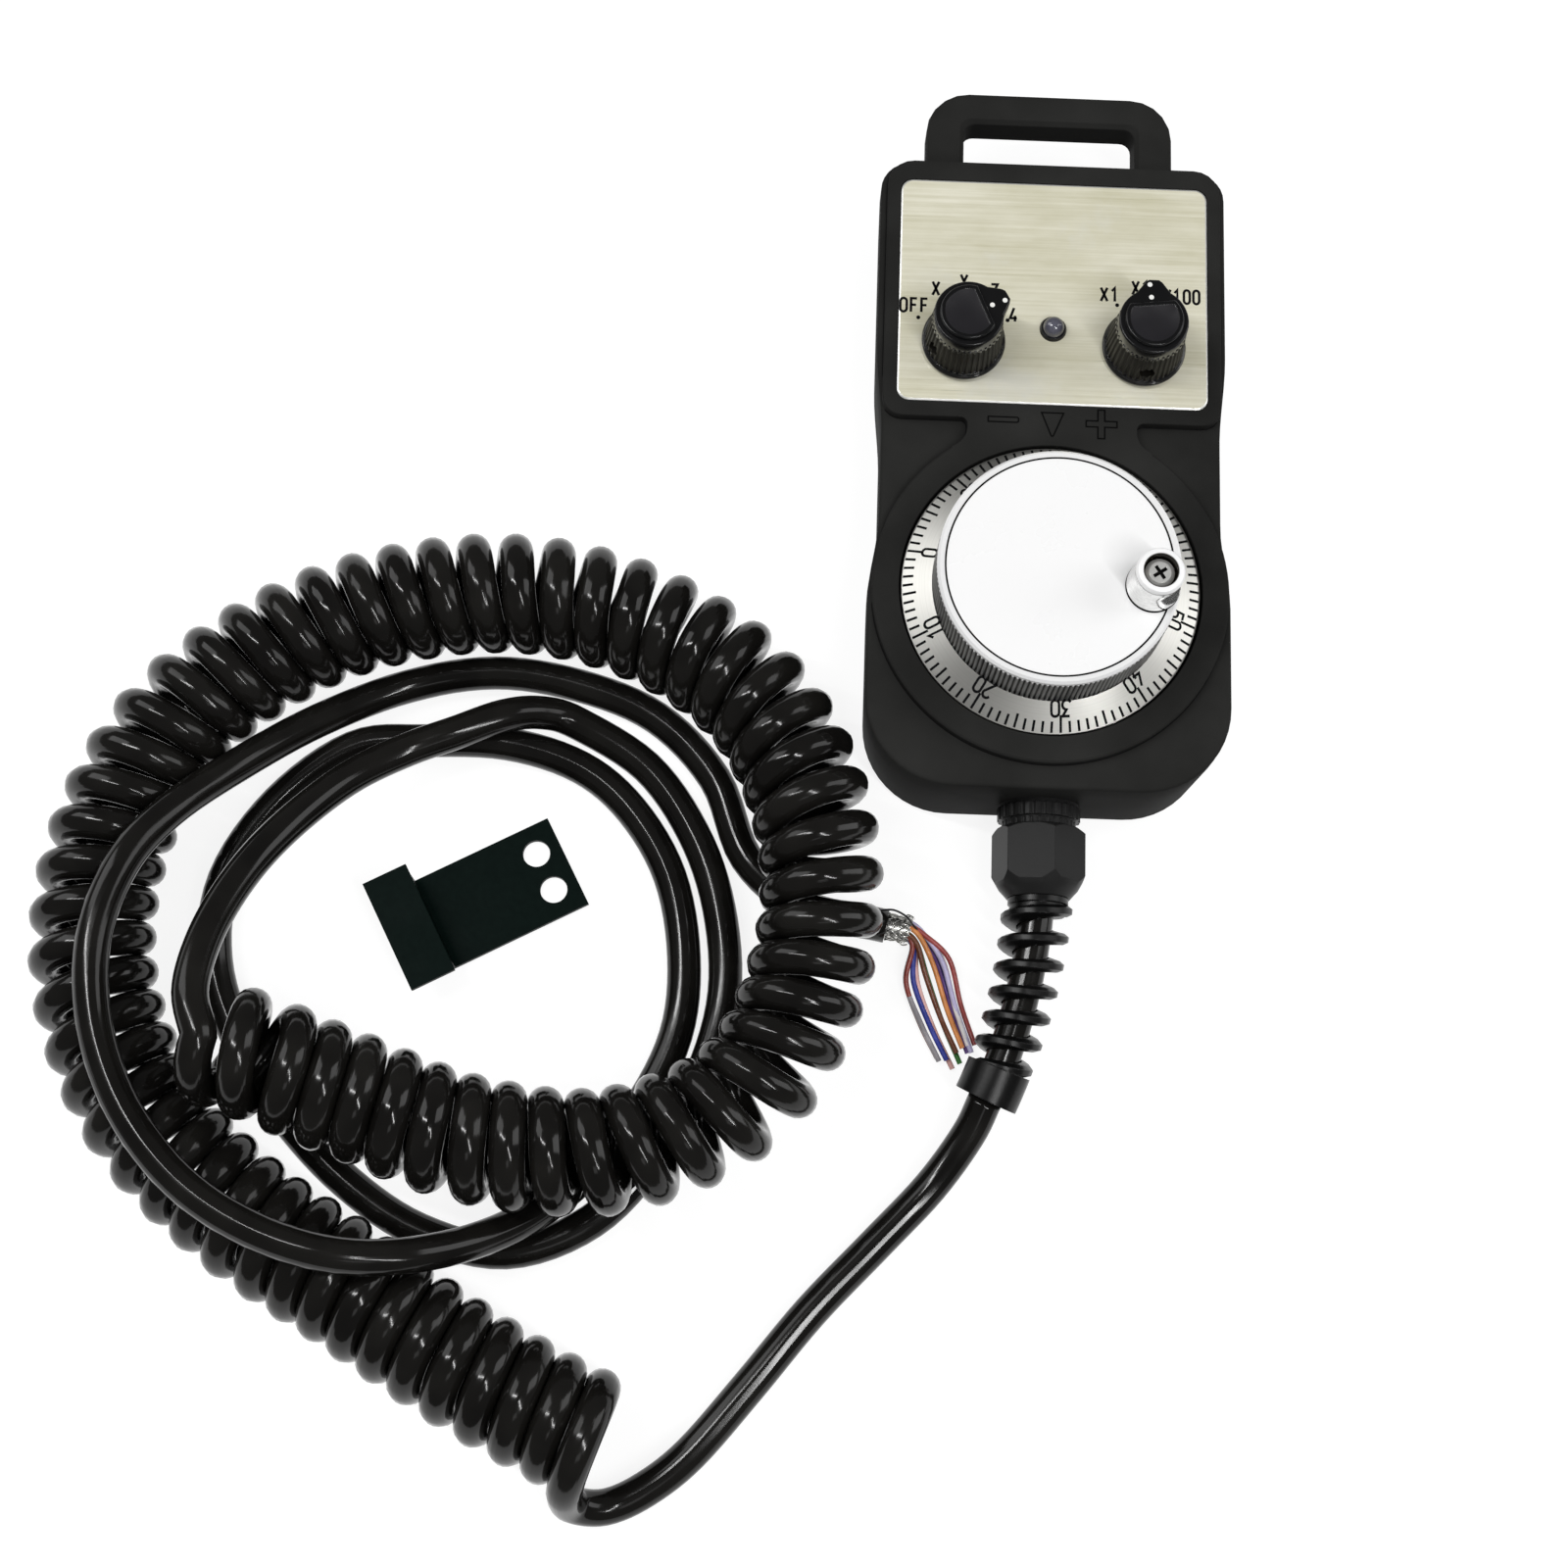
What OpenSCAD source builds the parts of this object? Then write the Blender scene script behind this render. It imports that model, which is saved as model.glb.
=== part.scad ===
// Hand-held pulse generator: a pendant with a turning handwheel, two selector
// knobs and a curled cord, lying on its back beside its wall hanger.
// +Z is up out of the face, +Y is towards the carrying loop, and the origin is
// on the handwheel axis at the plane that the back rests on.

/* [Housing] */
// Margin beside the panel plate
side_margin = 4.1; // [4:0.1:6]
// Margin above the panel plate
top_margin = 5; // [4:0.1:8]
// How far each side draws in at the waist, where the hand holds it
waist_draw = 1.3; // [0.5:0.1:2]
// Margin beside the raised bezel
hip_margin = 0.7; // [0.6:0.1:3]
// Margin below the raised bezel
bottom_margin = 4.8; // [4:0.1:8]
// How far each side draws in towards the back
side_draft = 0.8; // [0:0.1:1]
// Thickness from the back to the raised rim
housing_t = 30; // [29:0.5:34]
// Height of the joint between the rear and front shells
split_z = 21; // [20:0.5:22]
// Thickness of the shell walls
wall = 2.8; // [2.4:0.1:3]
// Height of the raised frame and bezel over the front face
rim_step = 2; // [1.4:0.1:2.4]
// Corner radius at the bottom
hip_corner = 18; // [16:0.5:19]
// Corner radius at the top
top_corner = 6; // [5:0.5:8]
// Width of the raised bezel round the dial
bezel_w = 5.4; // [4:0.1:6]
// Distance from the housing's side to the raised frame round the panel
frame_inset = 1.3; // [1:0.1:1.8]
// Width of the raised bridge between frame and bezel
bridge_w = 34.6; // [28:0.2:40]
// Radius between the bridge's sides and the bezel
bridge_fillet = 4.5; // [2:0.5:5]
// Radius of the housing screw bosses
boss_r = 4.2; // [4:0.1:4.4]
// Shank radius of the housing screws
housing_screw_r = 1.45; // [1.2:0.05:1.5]

/* [Carrying loop] */
// Outer width
loop_w = 52.6; // [46:0.2:56]
// Reach beyond the top edge of the housing
loop_reach = 20.7; // [18:0.1:26]
// Depth of the crossbar
loop_bar = 7.2; // [5.5:0.1:8]
// Width of each side bar
loop_side = 8.1; // [6:0.1:9]
// Thickness
loop_t = 8; // [6:0.5:9]
// Outer corner radius
loop_corner = 9; // [7:0.5:10]

/* [Panel plate] */
// Width
plate_w = 63.8; // [62:0.2:65]
// Length
plate_len = 49.2; // [48:0.2:50]
// Thickness
plate_t = 0.8; // [0.5:0.1:1]
// Distance from the handwheel axis to the middle of the plate
plate_y = 64; // [63.5:0.1:64.5]
// Corner radius
plate_corner = 2.6; // [1:0.1:4]
// Distance from the plate's middle down to the selector knobs
knob_drop = 11.7; // [10:0.1:13]
// Distance from the plate's middle down to the signal lamp
lamp_drop = 8; // [6:0.5:10]

/* [Handwheel] */
// Diameter of the graduated dial
dial_d = 60; // [58:0.2:61]
// Thickness of the dial under the drum
dial_t = 1.8; // [1.6:0.1:2]
// Thickness of the dial at its outer edge
dial_edge_t = 1; // [0.8:0.1:1.2]
// How far the graduated cone rises for each millimetre inward
dial_rise = 0.5; // [0.3:0.05:0.6]
// Diameter over the knurling
drum_d = 48; // [46:0.2:48.4]
// How far the knurling stands out over the plain rim
rim_lip = 0.1; // [0.1:0.05:0.4]
// Height of the drum over the dial
drum_h = 14.1; // [13.8:0.1:18]
// Number of knurled teeth
teeth = 150; // [100:2:160]
// Depth of a knurled tooth
tooth_depth = 0.45; // [0.3:0.05:0.6]
// Width of the rim round the face disc
rim_w = 1.6; // [1.2:0.1:2.4]
// Thickness of the face disc
face_t = 0.8; // [0.5:0.1:1.2]
// Radius of the encoder shaft
shaft_r = 3; // [2.5:0.1:3.2]

/* [Crank handle] */
// How far its foot stands out over the rim's groove
crank_overhang = 1.4; // [0.5:0.1:1.8]
// Direction from the handwheel axis, in degrees
crank_angle = -11; // [-30:1:30]
// Height of the sleeve
sleeve_h = 9.6; // [8:0.2:14]
// Wall of the sleeve round the screw's head
sleeve_wall = 1.55; // [1.4:0.05:1.8]
// How far the foot flares out
sleeve_flare = 0.55; // [0.3:0.05:0.8]
// Radius of the screw's plain shoulder
shoulder_r = 2; // [1.6:0.1:2.4]
// Radius of the screw's head
crank_head_r = 2.9; // [2.6:0.1:3.1]

/* [Selector knobs] */
// Distance of each knob from the middle line
knob_x = 18.5; // [17.5:0.1:19]
// Wall of the ribbed skirt
skirt_wall = 0.95; // [0.8:0.05:1.2]
// How far the foot ring stands out
foot_step = 0.35; // [0.2:0.05:0.6]
// How far the skirt draws in up to the cap
skirt_taper = 0.95; // [0.5:0.05:1.2]
// Height over the plate
knob_h = 14.6; // [14:0.2:18]
// Number of ribs
ribs = 40; // [24:1:48]
// Depth of a rib
rib_depth = 0.3; // [0.15:0.05:0.4]
// Reach of the pointer from the knob's axis
pointer_reach = 8.9; // [8:0.1:9.5]
// Resting direction of the axis knob, clockwise from straight up
axis_rest = 60; // [0:30:60]
// Radius of the switch shafts
spindle_r = 3; // [2.8:0.1:3.1]

/* [Signal lamp] */
// Radius of the lens
lens_r = 2.2; // [1.5:0.1:2.5]
// Width of the holder's rim
holder_w = 0.6; // [0.5:0.1:1.5]

/* [Pulse generator] */
// Width of the mounting flange round the body
flange_w = 5.1; // [5:0.1:6]
// Thickness of the flange
flange_t = 1; // [0.8:0.1:1.2]
// Radius of the mounting screws
mount_screw_r = 1.25; // [1:0.05:1.4]
// Clear depth in the body behind the code disc
rotor_depth = 6.2; // [6:0.1:7]

/* [Rotary switches] */
// Radius of the body
switch_r = 8; // [6:0.1:9]
// Height of the body
switch_h = 14; // [10:0.5:16]
// Radius of the threaded bushing
bushing_r = 4.4; // [3.8:0.1:4.5]
// Width of the nut across its flats
switch_nut_af = 11.4; // [11:0.1:11.6]

/* [Cable gland] */
// Height of the gland's axis
gland_z = 12.5; // [11:0.5:13]
// Radius of the gland's thread
gland_thread_r = 6.25; // [5.8:0.05:6.4]
// Wall of the hexagonal nut over its thread
gland_nut_wall = 1.8; // [1.5:0.1:3]
// Length of the hexagonal part
gland_nut_l = 12.4; // [11.5:0.2:14]
// Turn of the hexagon about its axis, in degrees
gland_turn = 16; // [0:1:30]

/* [Strain relief] */
// Number of turns of the spiral
relief_turns = 6.4; // [5:0.2:7]
// Reach of the spiral's fin beside the nut
fin_reach0 = 3.4; // [3:0.1:3.8]
// Reach of the spiral's fin beside the collar
fin_reach1 = 2.5; // [2.2:0.1:3]
// Thickness of the spiral at its root
relief_t = 2.8; // [2:0.1:3]
// Wall of the end collar
collar_wall = 2.7; // [2:0.1:3]
// Length of the end collar
collar_l = 6.5; // [5:0.1:7]

/* [Cord] */
// Diameter of the cord
cord_d = 7; // [6.4:0.1:7]
// Outer diameter of the curled part
curl_d = 25; // [22:0.5:25]
// Diameter of one insulated core
core_d = 1.3; // [1:0.1:1.5]
// Number of insulated cores
cores = 8; // [6:1:9]

/* [Wall hanger] */
// Width of the drilled plate
hanger_w = 20; // [18:0.5:24]
// Length of the drilled plate
hanger_len = 30; // [26:0.5:36]
// Thickness of the sheet
sheet_t = 1.5; // [1:0.1:2]
// Width of the hooked lip
lip_w = 24; // [22:0.5:28]
// Length of the hooked lip
lip_len = 9.5; // [8:0.5:12]
// Clear height under the lip
lip_gap = 8.5; // [8:0.5:12]
// Radius of the fixing holes
hanger_hole_r = 2.8; // [2:0.1:3.2]
// Distance between the fixing holes
hanger_pitch = 8.4; // [8:0.1:10]

/* [Clearances] */
// Radial gap where one piece turns in another
turn_gap = 0.05; // [0.03:0.01:0.09]
// Radial gap of a screw or bushing in its hole
hole_gap = 0.2; // [0.1:0.05:0.3]
// Gap between faces that move past each other
face_gap = 0.4; // [0.3:0.05:0.5]

/* [Hidden] */
$fn = 64;
eps = 0.01;

// Sizes that follow from others, from the inside out
recess_r = dial_d / 2 + 0.5;
bezel_r = recess_r + bezel_w;
hip_w = 2 * (bezel_r + hip_margin);
bottom_reach = bezel_r + bottom_margin;
shoulder_w = plate_w + 2 * side_margin;
waist_w = shoulder_w - 2 * waist_draw;
top_reach = plate_y + plate_len / 2 + top_margin;
frame_w = shoulder_w - 2 * frame_inset;
frame_lip = 3.4;
screw_head_r = housing_screw_r + 1.25;
screw_head_depth = 6;

// Heights in the housing
face_z = housing_t - rim_step;
plate_seat_z = housing_t - plate_t;
ceiling_z = face_z - 2.5;
panel_ceiling_z = plate_seat_z - 2.4;
floor_t = 2.5;
edge_r = 0.9;
back_edge_r = 2.6;
boss_inset = wall + boss_r - 0.6;
hip_boss_inset = hip_corner - (hip_corner - boss_inset) * sqrt(0.5);

// Waist: heights along the side where its width changes
hip_y = -2;
waist_low_y = 15;
waist_high_y = 33;
shoulder_y = 52;

// Carrying loop
loop_z = split_z - loop_t;
loop_top_y = top_reach + loop_reach;

// Dial recess and pulse generator
recess_z = face_z - 1.5;
seat_r = recess_r + 2.6;
seat_z = recess_z - 2.5;
flange_r = recess_r - 1.1;
encoder_r = flange_r - flange_w;
encoder_hole_r = encoder_r + 0.3;
mount_screw_reach = (encoder_hole_r + flange_r) / 2;
gasket_t = 0.5;
flange_z = recess_z + gasket_t;
flange_top_z = flange_z + flange_t;
encoder_z = 8;
cover_t = 2;
bearing_r = 6;
bearing_t = 4;
hub_tube_r = 9;
rotor_z = encoder_z + rotor_depth;
code_disc_r = encoder_r - 7.8;
bearing_seat_r = bearing_r - 0.8;
dial_z = flange_top_z + face_gap;
dial_top_z = dial_z + dial_t;
dial_bore_r = drum_d / 2 - 6;
drum_seat_r = drum_d / 2 + 0.05;
rim_d = drum_d - 2 * rim_lip;
face_d = rim_d - 2 * rim_w;
drum_top_z = dial_top_z + drum_h;
drum_wall = 2.8;
drum_roof = 3;
rim_h = 1.6;
hub_r = 7;
shaft_top_z = drum_top_z - drum_roof - 1.4;
mount_head_r = mount_screw_r + 0.95;

// Crank handle
crank_seat_z = drum_top_z;
washer_t = 0.4;
sleeve_z = crank_seat_z + washer_t + 0.1;
sleeve_top_z = sleeve_z + sleeve_h;
sleeve_floor_z = sleeve_top_z - 3.4;
sleeve_bore_r = crank_head_r + 0.3;
sleeve_top_r = sleeve_bore_r + sleeve_wall;
sleeve_foot_r = sleeve_top_r + sleeve_flare;
crank_reach = face_d / 2 - sleeve_foot_r + crank_overhang;

// Selector knobs
knob_y = plate_y - knob_drop;
knob_z = housing_t + 0.6;
knob_top_z = knob_z + knob_h;
cap_h = 4;
cap_z = knob_top_z - cap_h;
foot_h = 1.4;
switch_top_z = panel_ceiling_z;
switch_z = switch_top_z - switch_h;
washer_r = switch_nut_af / 2 + 0.6;
switch_washer_t = 0.5;
switch_nut_t = 2;
nut_z = housing_t + switch_washer_t;
bushing_top_z = nut_z + switch_nut_t + 0.4;
knob_cavity_r = switch_nut_af / sqrt(3) + 0.42;
skirt_r = knob_cavity_r + skirt_wall;
knob_foot_r = skirt_r + foot_step;
cap_r = skirt_r - skirt_taper;
knob_cavity_z = bushing_top_z + 0.4;
spindle_top_z = cap_z - 2.4;
spigot_r = cap_r - 2;
spigot_h = 1.5;
set_screw_z = knob_cavity_z + 1.9;
set_screw_r = 1.5;

// Signal lamp
lamp_y = plate_y - lamp_drop;
holder_r = lens_r + holder_w;
socket_r = lens_r + 0.3;

// Cable gland, along -Y from the inside of the bottom wall
wall_in_y = wall - bottom_reach;
wall_out_y = -bottom_reach;
inner_thread_r = gland_thread_r + 0.25;
gland_nut_af = 2 * (inner_thread_r + gland_nut_wall);
gland_flange_r = gland_nut_af / 2 + 0.1;
locknut_af = 2 * (gland_thread_r + 1.25);
washer_l = 0.8;
locknut_l = 3.6;
gland_flange_l = 2.6;
gland_neck_l = 1.7;
nut_y = wall_out_y - washer_l - gland_flange_l - gland_neck_l;
nut_end_y = nut_y - gland_nut_l;
taper_l = 1.8;
relief_y = nut_end_y - taper_l;
cable_r = cord_d / 2;
cable_bore_r = cable_r + 0.2;
seal_r = cable_r + 1.5;
relief_root_r = cable_r + 0.3;
relief_r0 = relief_root_r + fin_reach0;
relief_r1 = relief_root_r + fin_reach1;
collar_r = relief_root_r + collar_wall;
cable_start_y = wall_in_y + locknut_l + 2.4;

// Route of the strain relief and of the cable in it
relief_start = [0, relief_y, gland_z];
relief_bend = [-1.6, relief_y - 22, gland_z - 0.5];
relief_end = [-9.6, relief_y - 40.2, 8.6];

// Route of the loose cord, then the curled part, then the loose tail
lead_route = [
  relief_end, [-12.8, -107.1, 6.4], [-20, -117.5, 4.2], [-30.5, -129, 3.6], [-43, -142.5, 3.6],
  [-54.5, -157, 3.6], [-66.5, -171.5, 3.6], [-75, -178.4, 3.6], [-83, -181, 4.4]
];
curl_route = [
  [-84, -168, 12.6], [-108, -156, 12.6], [-132, -141.5, 12.6], [-156, -126.8, 12.6],
  [-176, -108, 12.6], [-187.5, -83, 12.6], [-187.5, -56, 12.6], [-176.5, -30.5, 12.6],
  [-155, -12, 12.6], [-130, -2.2, 12.6], [-103, 0, 12.6], [-77, -7.2, 13], [-56.5, -23.5, 16],
  [-45.5, -48, 20.2], [-45, -74.5, 20.6], [-56.5, -100.5, 20.8], [-81, -113.5, 21.4],
  [-108.5, -113, 22.4], [-134.5, -105, 25.4], [-150, -99.5, 28.8], [-160, -96.5, 28.8]
];
tail_route = [
  [-162.6, -88.5, 37], [-162, -79, 34], [-159.3, -69, 29.5], [-154.5, -58.5, 24], [-147.5, -48.5, 18.6],
  [-139, -39.8, 14.2], [-129, -33.5, 11.6], [-119.5, -29.5, 11.3], [-110, -25.2, 9.9], [-102.5, -23.4, 6.8],
  [-95, -24.8, 4.2], [-80.4, -33.4, 3.6],
  [-70.2, -47, 3.6], [-64.3, -62.5, 3.6], [-62.5, -80, 3.6], [-66.5, -97, 3.6], [-75, -113, 3.6],
  [-87, -126.5, 3.6], [-103.5, -133, 3.6], [-121, -129.5, 3.6], [-136, -120.5, 3.6],
  [-149, -108, 3.6], [-159.5, -93.5, 3.6], [-166, -77, 3.6], [-165.5, -60, 3.6], [-156, -43.5, 3.6],
  [-141.5, -31.5, 3.6], [-127, -29.5, 3.6], [-109.5, -29.5, 3.6], [-94, -34, 3.6],
  [-83, -42.8, 3.6], [-74.6, -56.3, 3.6], [-71, -73, 3.6], [-72, -89, 3.6], [-79, -104.5, 3.6],
  [-90, -118.5, 4], [-102, -128.5, 13], [-116.5, -134.5, 24], [-132.5, -135.8, 29],
  [-149, -131.5, 29], [-163.5, -123, 29], [-175, -110, 29], [-182, -94.5, 29], [-184, -78, 29],
  [-180.5, -63, 28], [-173.5, -51, 23.5], [-162.5, -38.5, 14], [-148, -27, 8], [-131, -18, 3.8],
  [-113, -14.3, 3.6], [-95.3, -16.4, 3.6], [-78.8, -22.8, 3.6], [-66.2, -35.4, 3.6], [-59, -52, 3.6],
  [-47, -61.5, 3.6], [-30, -65, 3.6]
];
braid_l = 5.5;
braid_r = cable_r - 0.6;
core_ring_r = core_d / 2 / sin(180 / cores) + 0.03;
core_tip = [-14, -91, core_d / 2 + 0.2];
core_fan = [3.6, 4.2, 0];

// Turned face of the wall hanger
hanger_place = [-122.3, -67.5, 0];
hanger_angle = 28.2;
hole_edge = 5.2;

lead_end = curl_route[0] + cord_side(curl_route[1] - curl_route[0]) * (curl_d - cord_d) / 2;
tail_start = curl_route[len(curl_route) - 1] + [0, 0, (curl_d - cord_d) / 2];

// Unit vector along v
function unit(v) = v / norm(v);

// Direction from a curl's axis to where the loose cord joins it, low on one side
function cord_side(along) = let (side = unit(cross(along, [0, 0, 1]))) -0.8 * side - [0, 0, 0.6];

// Points on an arc round c, from angle a0 to a1
function arc(c, r, a0, a1, n) = [
  for (i = [0:n]) let (a = a0 + (a1 - a0) * i / n) c + r * [cos(a), sin(a)]
];

// Smooth step from 0 to 1
function ease(t) = t * t * (3 - 2 * t);

// Half width of the housing at a distance y along it
function half_width(y) =
  y < hip_y ? hip_w / 2
  : y < waist_low_y ? (hip_w + (waist_w - hip_w) * ease((y - hip_y) / (waist_low_y - hip_y))) / 2
  : y < waist_high_y ? waist_w / 2
  : y < shoulder_y
  ? (waist_w + (shoulder_w - waist_w) * ease((y - waist_high_y) / (shoulder_y - waist_high_y))) / 2
  : shoulder_w / 2;

// Right half of the housing's outline, moved inwards by inset
function right_side(inset) = concat(
  arc([hip_w / 2 - hip_corner, hip_corner - bottom_reach], hip_corner - inset, -90, 0, 12),
  [for (y = [hip_y : 3 : shoulder_y]) [half_width(y) - inset, y]],
  arc([shoulder_w / 2 - top_corner, top_reach - top_corner], max(top_corner - inset, 0.5), 0, 90, 7)
);

function mirrored(side) = [for (i = [len(side) - 1 : -1 : 0]) [-side[i].x, side[i].y]];
function outline(inset) = concat(right_side(inset), mirrored(right_side(inset)));

// Rectangle with round corners, given by its half size and centre
function round_rect(half, r_top, r_low, c) = concat(
  arc(c + [half.x - r_low, r_low - half.y], r_low, -90, 0, 5),
  arc(c + [half.x - r_top, half.y - r_top], r_top, 0, 90, 5),
  arc(c + [r_top - half.x, half.y - r_top], r_top, 90, 180, 5),
  arc(c + [r_low - half.x, r_low - half.y], r_low, 180, 270, 5)
);

// Outline of the rear shell at a height, narrower towards the back
function drafted(points, z) = let (k = 1 - 2 * side_draft / hip_w * (1 - z / split_z)) [
  for (p = points) [p.x * k, p.y, z]
];

function at_height(points, z) = [for (p = points) [p.x, p.y, z]];

// Closed solid through rings of equal count, each anticlockwise about the way it goes
module loft(rings) {
  n = len(rings[0]);
  last = (len(rings) - 1) * n;
  polyhedron(
    points = [for (ring = rings) for (p = ring) p],
    faces = concat(
      [[for (i = [0:n - 1]) i]],
      [
        for (k = [0:len(rings) - 2]) for (i = [0:n - 1]) let (j = (i + 1) % n)
          [k * n + i, (k + 1) * n + i, (k + 1) * n + j, k * n + j]
      ],
      [[for (i = [n - 1 : -1 : 0]) last + i]]
    )
  );
}

// Ring of points round c, square to the direction t
function ring(c, t, r, sides) = let (u = unit(cross([0, 0, 1], t)), v = cross(t, u)) [
  for (k = [0:sides - 1]) let (a = 360 * (k + 0.5) / sides) c + r * (cos(a) * u + sin(a) * v)
];

// Direction of a route at its point i, with given directions at its ends
function heading(route, i, t0, t1) =
  i == 0 ? unit(t0)
  : i == len(route) - 1 ? unit(t1)
  : unit(unit(route[i + 1] - route[i]) + unit(route[i] - route[i - 1]));

module tube(route, r, sides, t0, t1) {
  loft([for (i = [0:len(route) - 1]) ring(route[i], heading(route, i, t0, t1), r, sides)]);
}

// Point and direction on the curve of the strain relief, s from 0 to 1
function relief_point(s) =
  (1 - s) * (1 - s) * relief_start + 2 * s * (1 - s) * relief_bend + s * s * relief_end;
function relief_dir(s) =
  unit((1 - s) * (relief_bend - relief_start) + s * (relief_end - relief_bend));
relief_l = norm(relief_bend - relief_start) + norm(relief_end - relief_bend);

module at_screws() {
  for (side = [-1, 1]) {
    translate([side * (shoulder_w / 2 - boss_inset), top_reach - boss_inset, 0]) children();
    translate([side * (waist_w / 2 - boss_inset), 29, 0]) children();
    translate([side * (hip_w / 2 - hip_boss_inset), hip_boss_inset - bottom_reach, 0]) children();
  }
}

module at_mount_screws() {
  for (a = [30, 150, 270]) rotate(a) translate([mount_screw_reach, 0, 0]) children();
}

module at_dial_screws() {
  reach = drum_d / 2 - tooth_depth - drum_wall / 2;
  for (a = [0, 120, 240]) rotate(a) translate([reach, 0, 0]) children();
}

module at_crank() {
  rotate(crank_angle) translate([crank_reach, 0, 0]) children();
}

module at_axis_knob() {
  translate([-knob_x, knob_y, 0]) rotate(-axis_rest) children();
}

module at_multiplier_knob() {
  translate([knob_x, knob_y, 0]) children();
}

// Turns a solid drawn along +Z to run along -Y from y, on the gland's axis
module along_gland(y) {
  translate([0, y, gland_z]) rotate([90, 0, 0]) children();
}

module hexagon(af, h) {
  cylinder(r = af / sqrt(3), h = h, $fn = 6);
}

module tube_ring(outer, inner, h) {
  difference() {
    cylinder(r = outer, h = h);
    translate([0, 0, -1]) cylinder(r = inner, h = h + 2);
  }
}

// ---- Housing ----

module seal_line(z, h, slack) {
  translate([0, 0, z]) linear_extrude(h) difference() {
    polygon(outline(wall / 2 - 0.5 - slack));
    polygon(outline(wall / 2 + 0.5 + slack));
  }
}

module bridge_plan(frame_low) {
  translate([-bridge_w / 2, 0]) square([bridge_w, frame_low + 2]);
}

module raised_rim() {
  soft = [[0, 0], [rim_step - 0.5, 0], [rim_step - 0.15, 0.15], [rim_step, 0.5]];
  frame_top = top_reach - 0.5;
  frame_low = plate_y - plate_len / 2 - frame_lip;
  frame_c = [0, (frame_top + frame_low) / 2];
  frame_half = [frame_w / 2, (frame_top - frame_low) / 2];
  loft([
    for (s = soft) at_height(
      round_rect(frame_half - [s.y, s.y], top_corner - 0.5 - s.y, 4 - s.y, frame_c), face_z + s.x
    )
  ]);
  translate([0, 0, face_z]) linear_extrude(rim_step) {
    intersection() {
      offset(r = -bridge_fillet) offset(r = bridge_fillet) union() {
        circle(r = bezel_r, $fn = 128);
        bridge_plan(frame_low);
      }
      translate([-bridge_w / 2 - bridge_fillet * 0.7, bezel_r * 0.6])
        square([bridge_w + bridge_fillet * 1.4, frame_low + 2 - bezel_r * 0.6]);
    }
    intersection() {
      offset(r = -1.4) offset(r = 1.4) union() {
        bridge_plan(frame_low);
        translate([-bridge_w / 2 - 6, frame_low]) square([bridge_w + 12, 4]);
      }
      translate([-bridge_w / 2 - 2, frame_low - 2]) square([bridge_w + 4, 3]);
    }
  }
  translate([0, 0, face_z]) cylinder(r = bezel_r, h = rim_step - 0.4, $fn = 128);
  translate([0, 0, housing_t - 0.4]) cylinder(r1 = bezel_r, r2 = bezel_r - 0.4, h = 0.4, $fn = 128);
}

module front_shell() {
  color("#222224") difference() {
    union() {
      difference() {
        loft([
          at_height(outline(0), split_z), at_height(outline(0), face_z - edge_r),
          at_height(outline(edge_r * 0.13), face_z - edge_r * 0.5),
          at_height(outline(edge_r * 0.5), face_z - edge_r * 0.13), at_height(outline(edge_r), face_z)
        ]);
        translate([0, 0, split_z - 1]) linear_extrude(ceiling_z - split_z + 1) polygon(outline(wall));
      }
      raised_rim();
      translate([0, 0, seat_z]) cylinder(r = seat_r, h = face_z - seat_z);
      intersection() {
        at_screws() translate([0, 0, split_z]) cylinder(r = boss_r, h = face_z - split_z - 1);
        translate([0, 0, split_z]) linear_extrude(face_z - split_z) polygon(outline(1));
      }
    }
    translate([0, plate_y, panel_ceiling_z - 5]) linear_extrude(5)
      polygon(round_rect([plate_w / 2 - 5, plate_len / 2 - 3], 1, 1, [0, 0]));
    translate([0, plate_y, plate_seat_z]) linear_extrude(2)
      polygon(round_rect([plate_w / 2 + 0.1, plate_len / 2 + 0.1], plate_corner, plate_corner, [0, 0]));
    translate([0, 0, recess_z]) cylinder(r = recess_r, h = 10, $fn = 128);
    translate([0, 0, split_z - 1]) cylinder(r = encoder_hole_r, h = 20, $fn = 96);
    at_mount_screws() translate([0, 0, seat_z - 1]) cylinder(r = mount_screw_r + hole_gap, h = 10);
    at_screws() translate([0, 0, split_z - 1]) cylinder(r = housing_screw_r + 0.05, h = 5);
    at_axis_knob() translate([0, 0, split_z]) cylinder(r = bushing_r + hole_gap, h = 20);
    at_multiplier_knob() translate([0, 0, split_z]) cylinder(r = bushing_r + hole_gap, h = 20);
    translate([0, lamp_y, split_z]) cylinder(r = socket_r + hole_gap, h = housing_t);
    seal_line(split_z - 1, 1.4, 0.05);
  }
}

module carrying_loop() {
  half_w = loop_w / 2;
  inner_half = half_w - loop_side;
  difference() {
    translate([0, 0, loop_z]) loft([
      for (s = [[0, 1.4], [0.4, 0.4], [1.4, 0], [loop_t - 1.4, 0], [loop_t - 0.4, 0.4], [loop_t, 1.4]])
        at_height(
          round_rect([half_w - s.y, loop_reach / 2 + 2 - s.y / 2], loop_corner - s.y, 1,
            [0, loop_top_y - loop_reach / 2 - 2 - s.y / 2]), s.x
        )
    ]);
    translate([0, 0, loop_z]) loft([
      for (s = [[-0.01, 1], [0.9, 0.1], [loop_t - 0.9, 0.1], [loop_t + 0.01, 1]])
        at_height(
          round_rect([inner_half + s.y, (loop_reach - loop_bar) / 2 + s.y], 2.4, 2.4,
            [0, top_reach + (loop_reach - loop_bar) / 2]), s.x
        )
    ]);
  }
}

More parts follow.
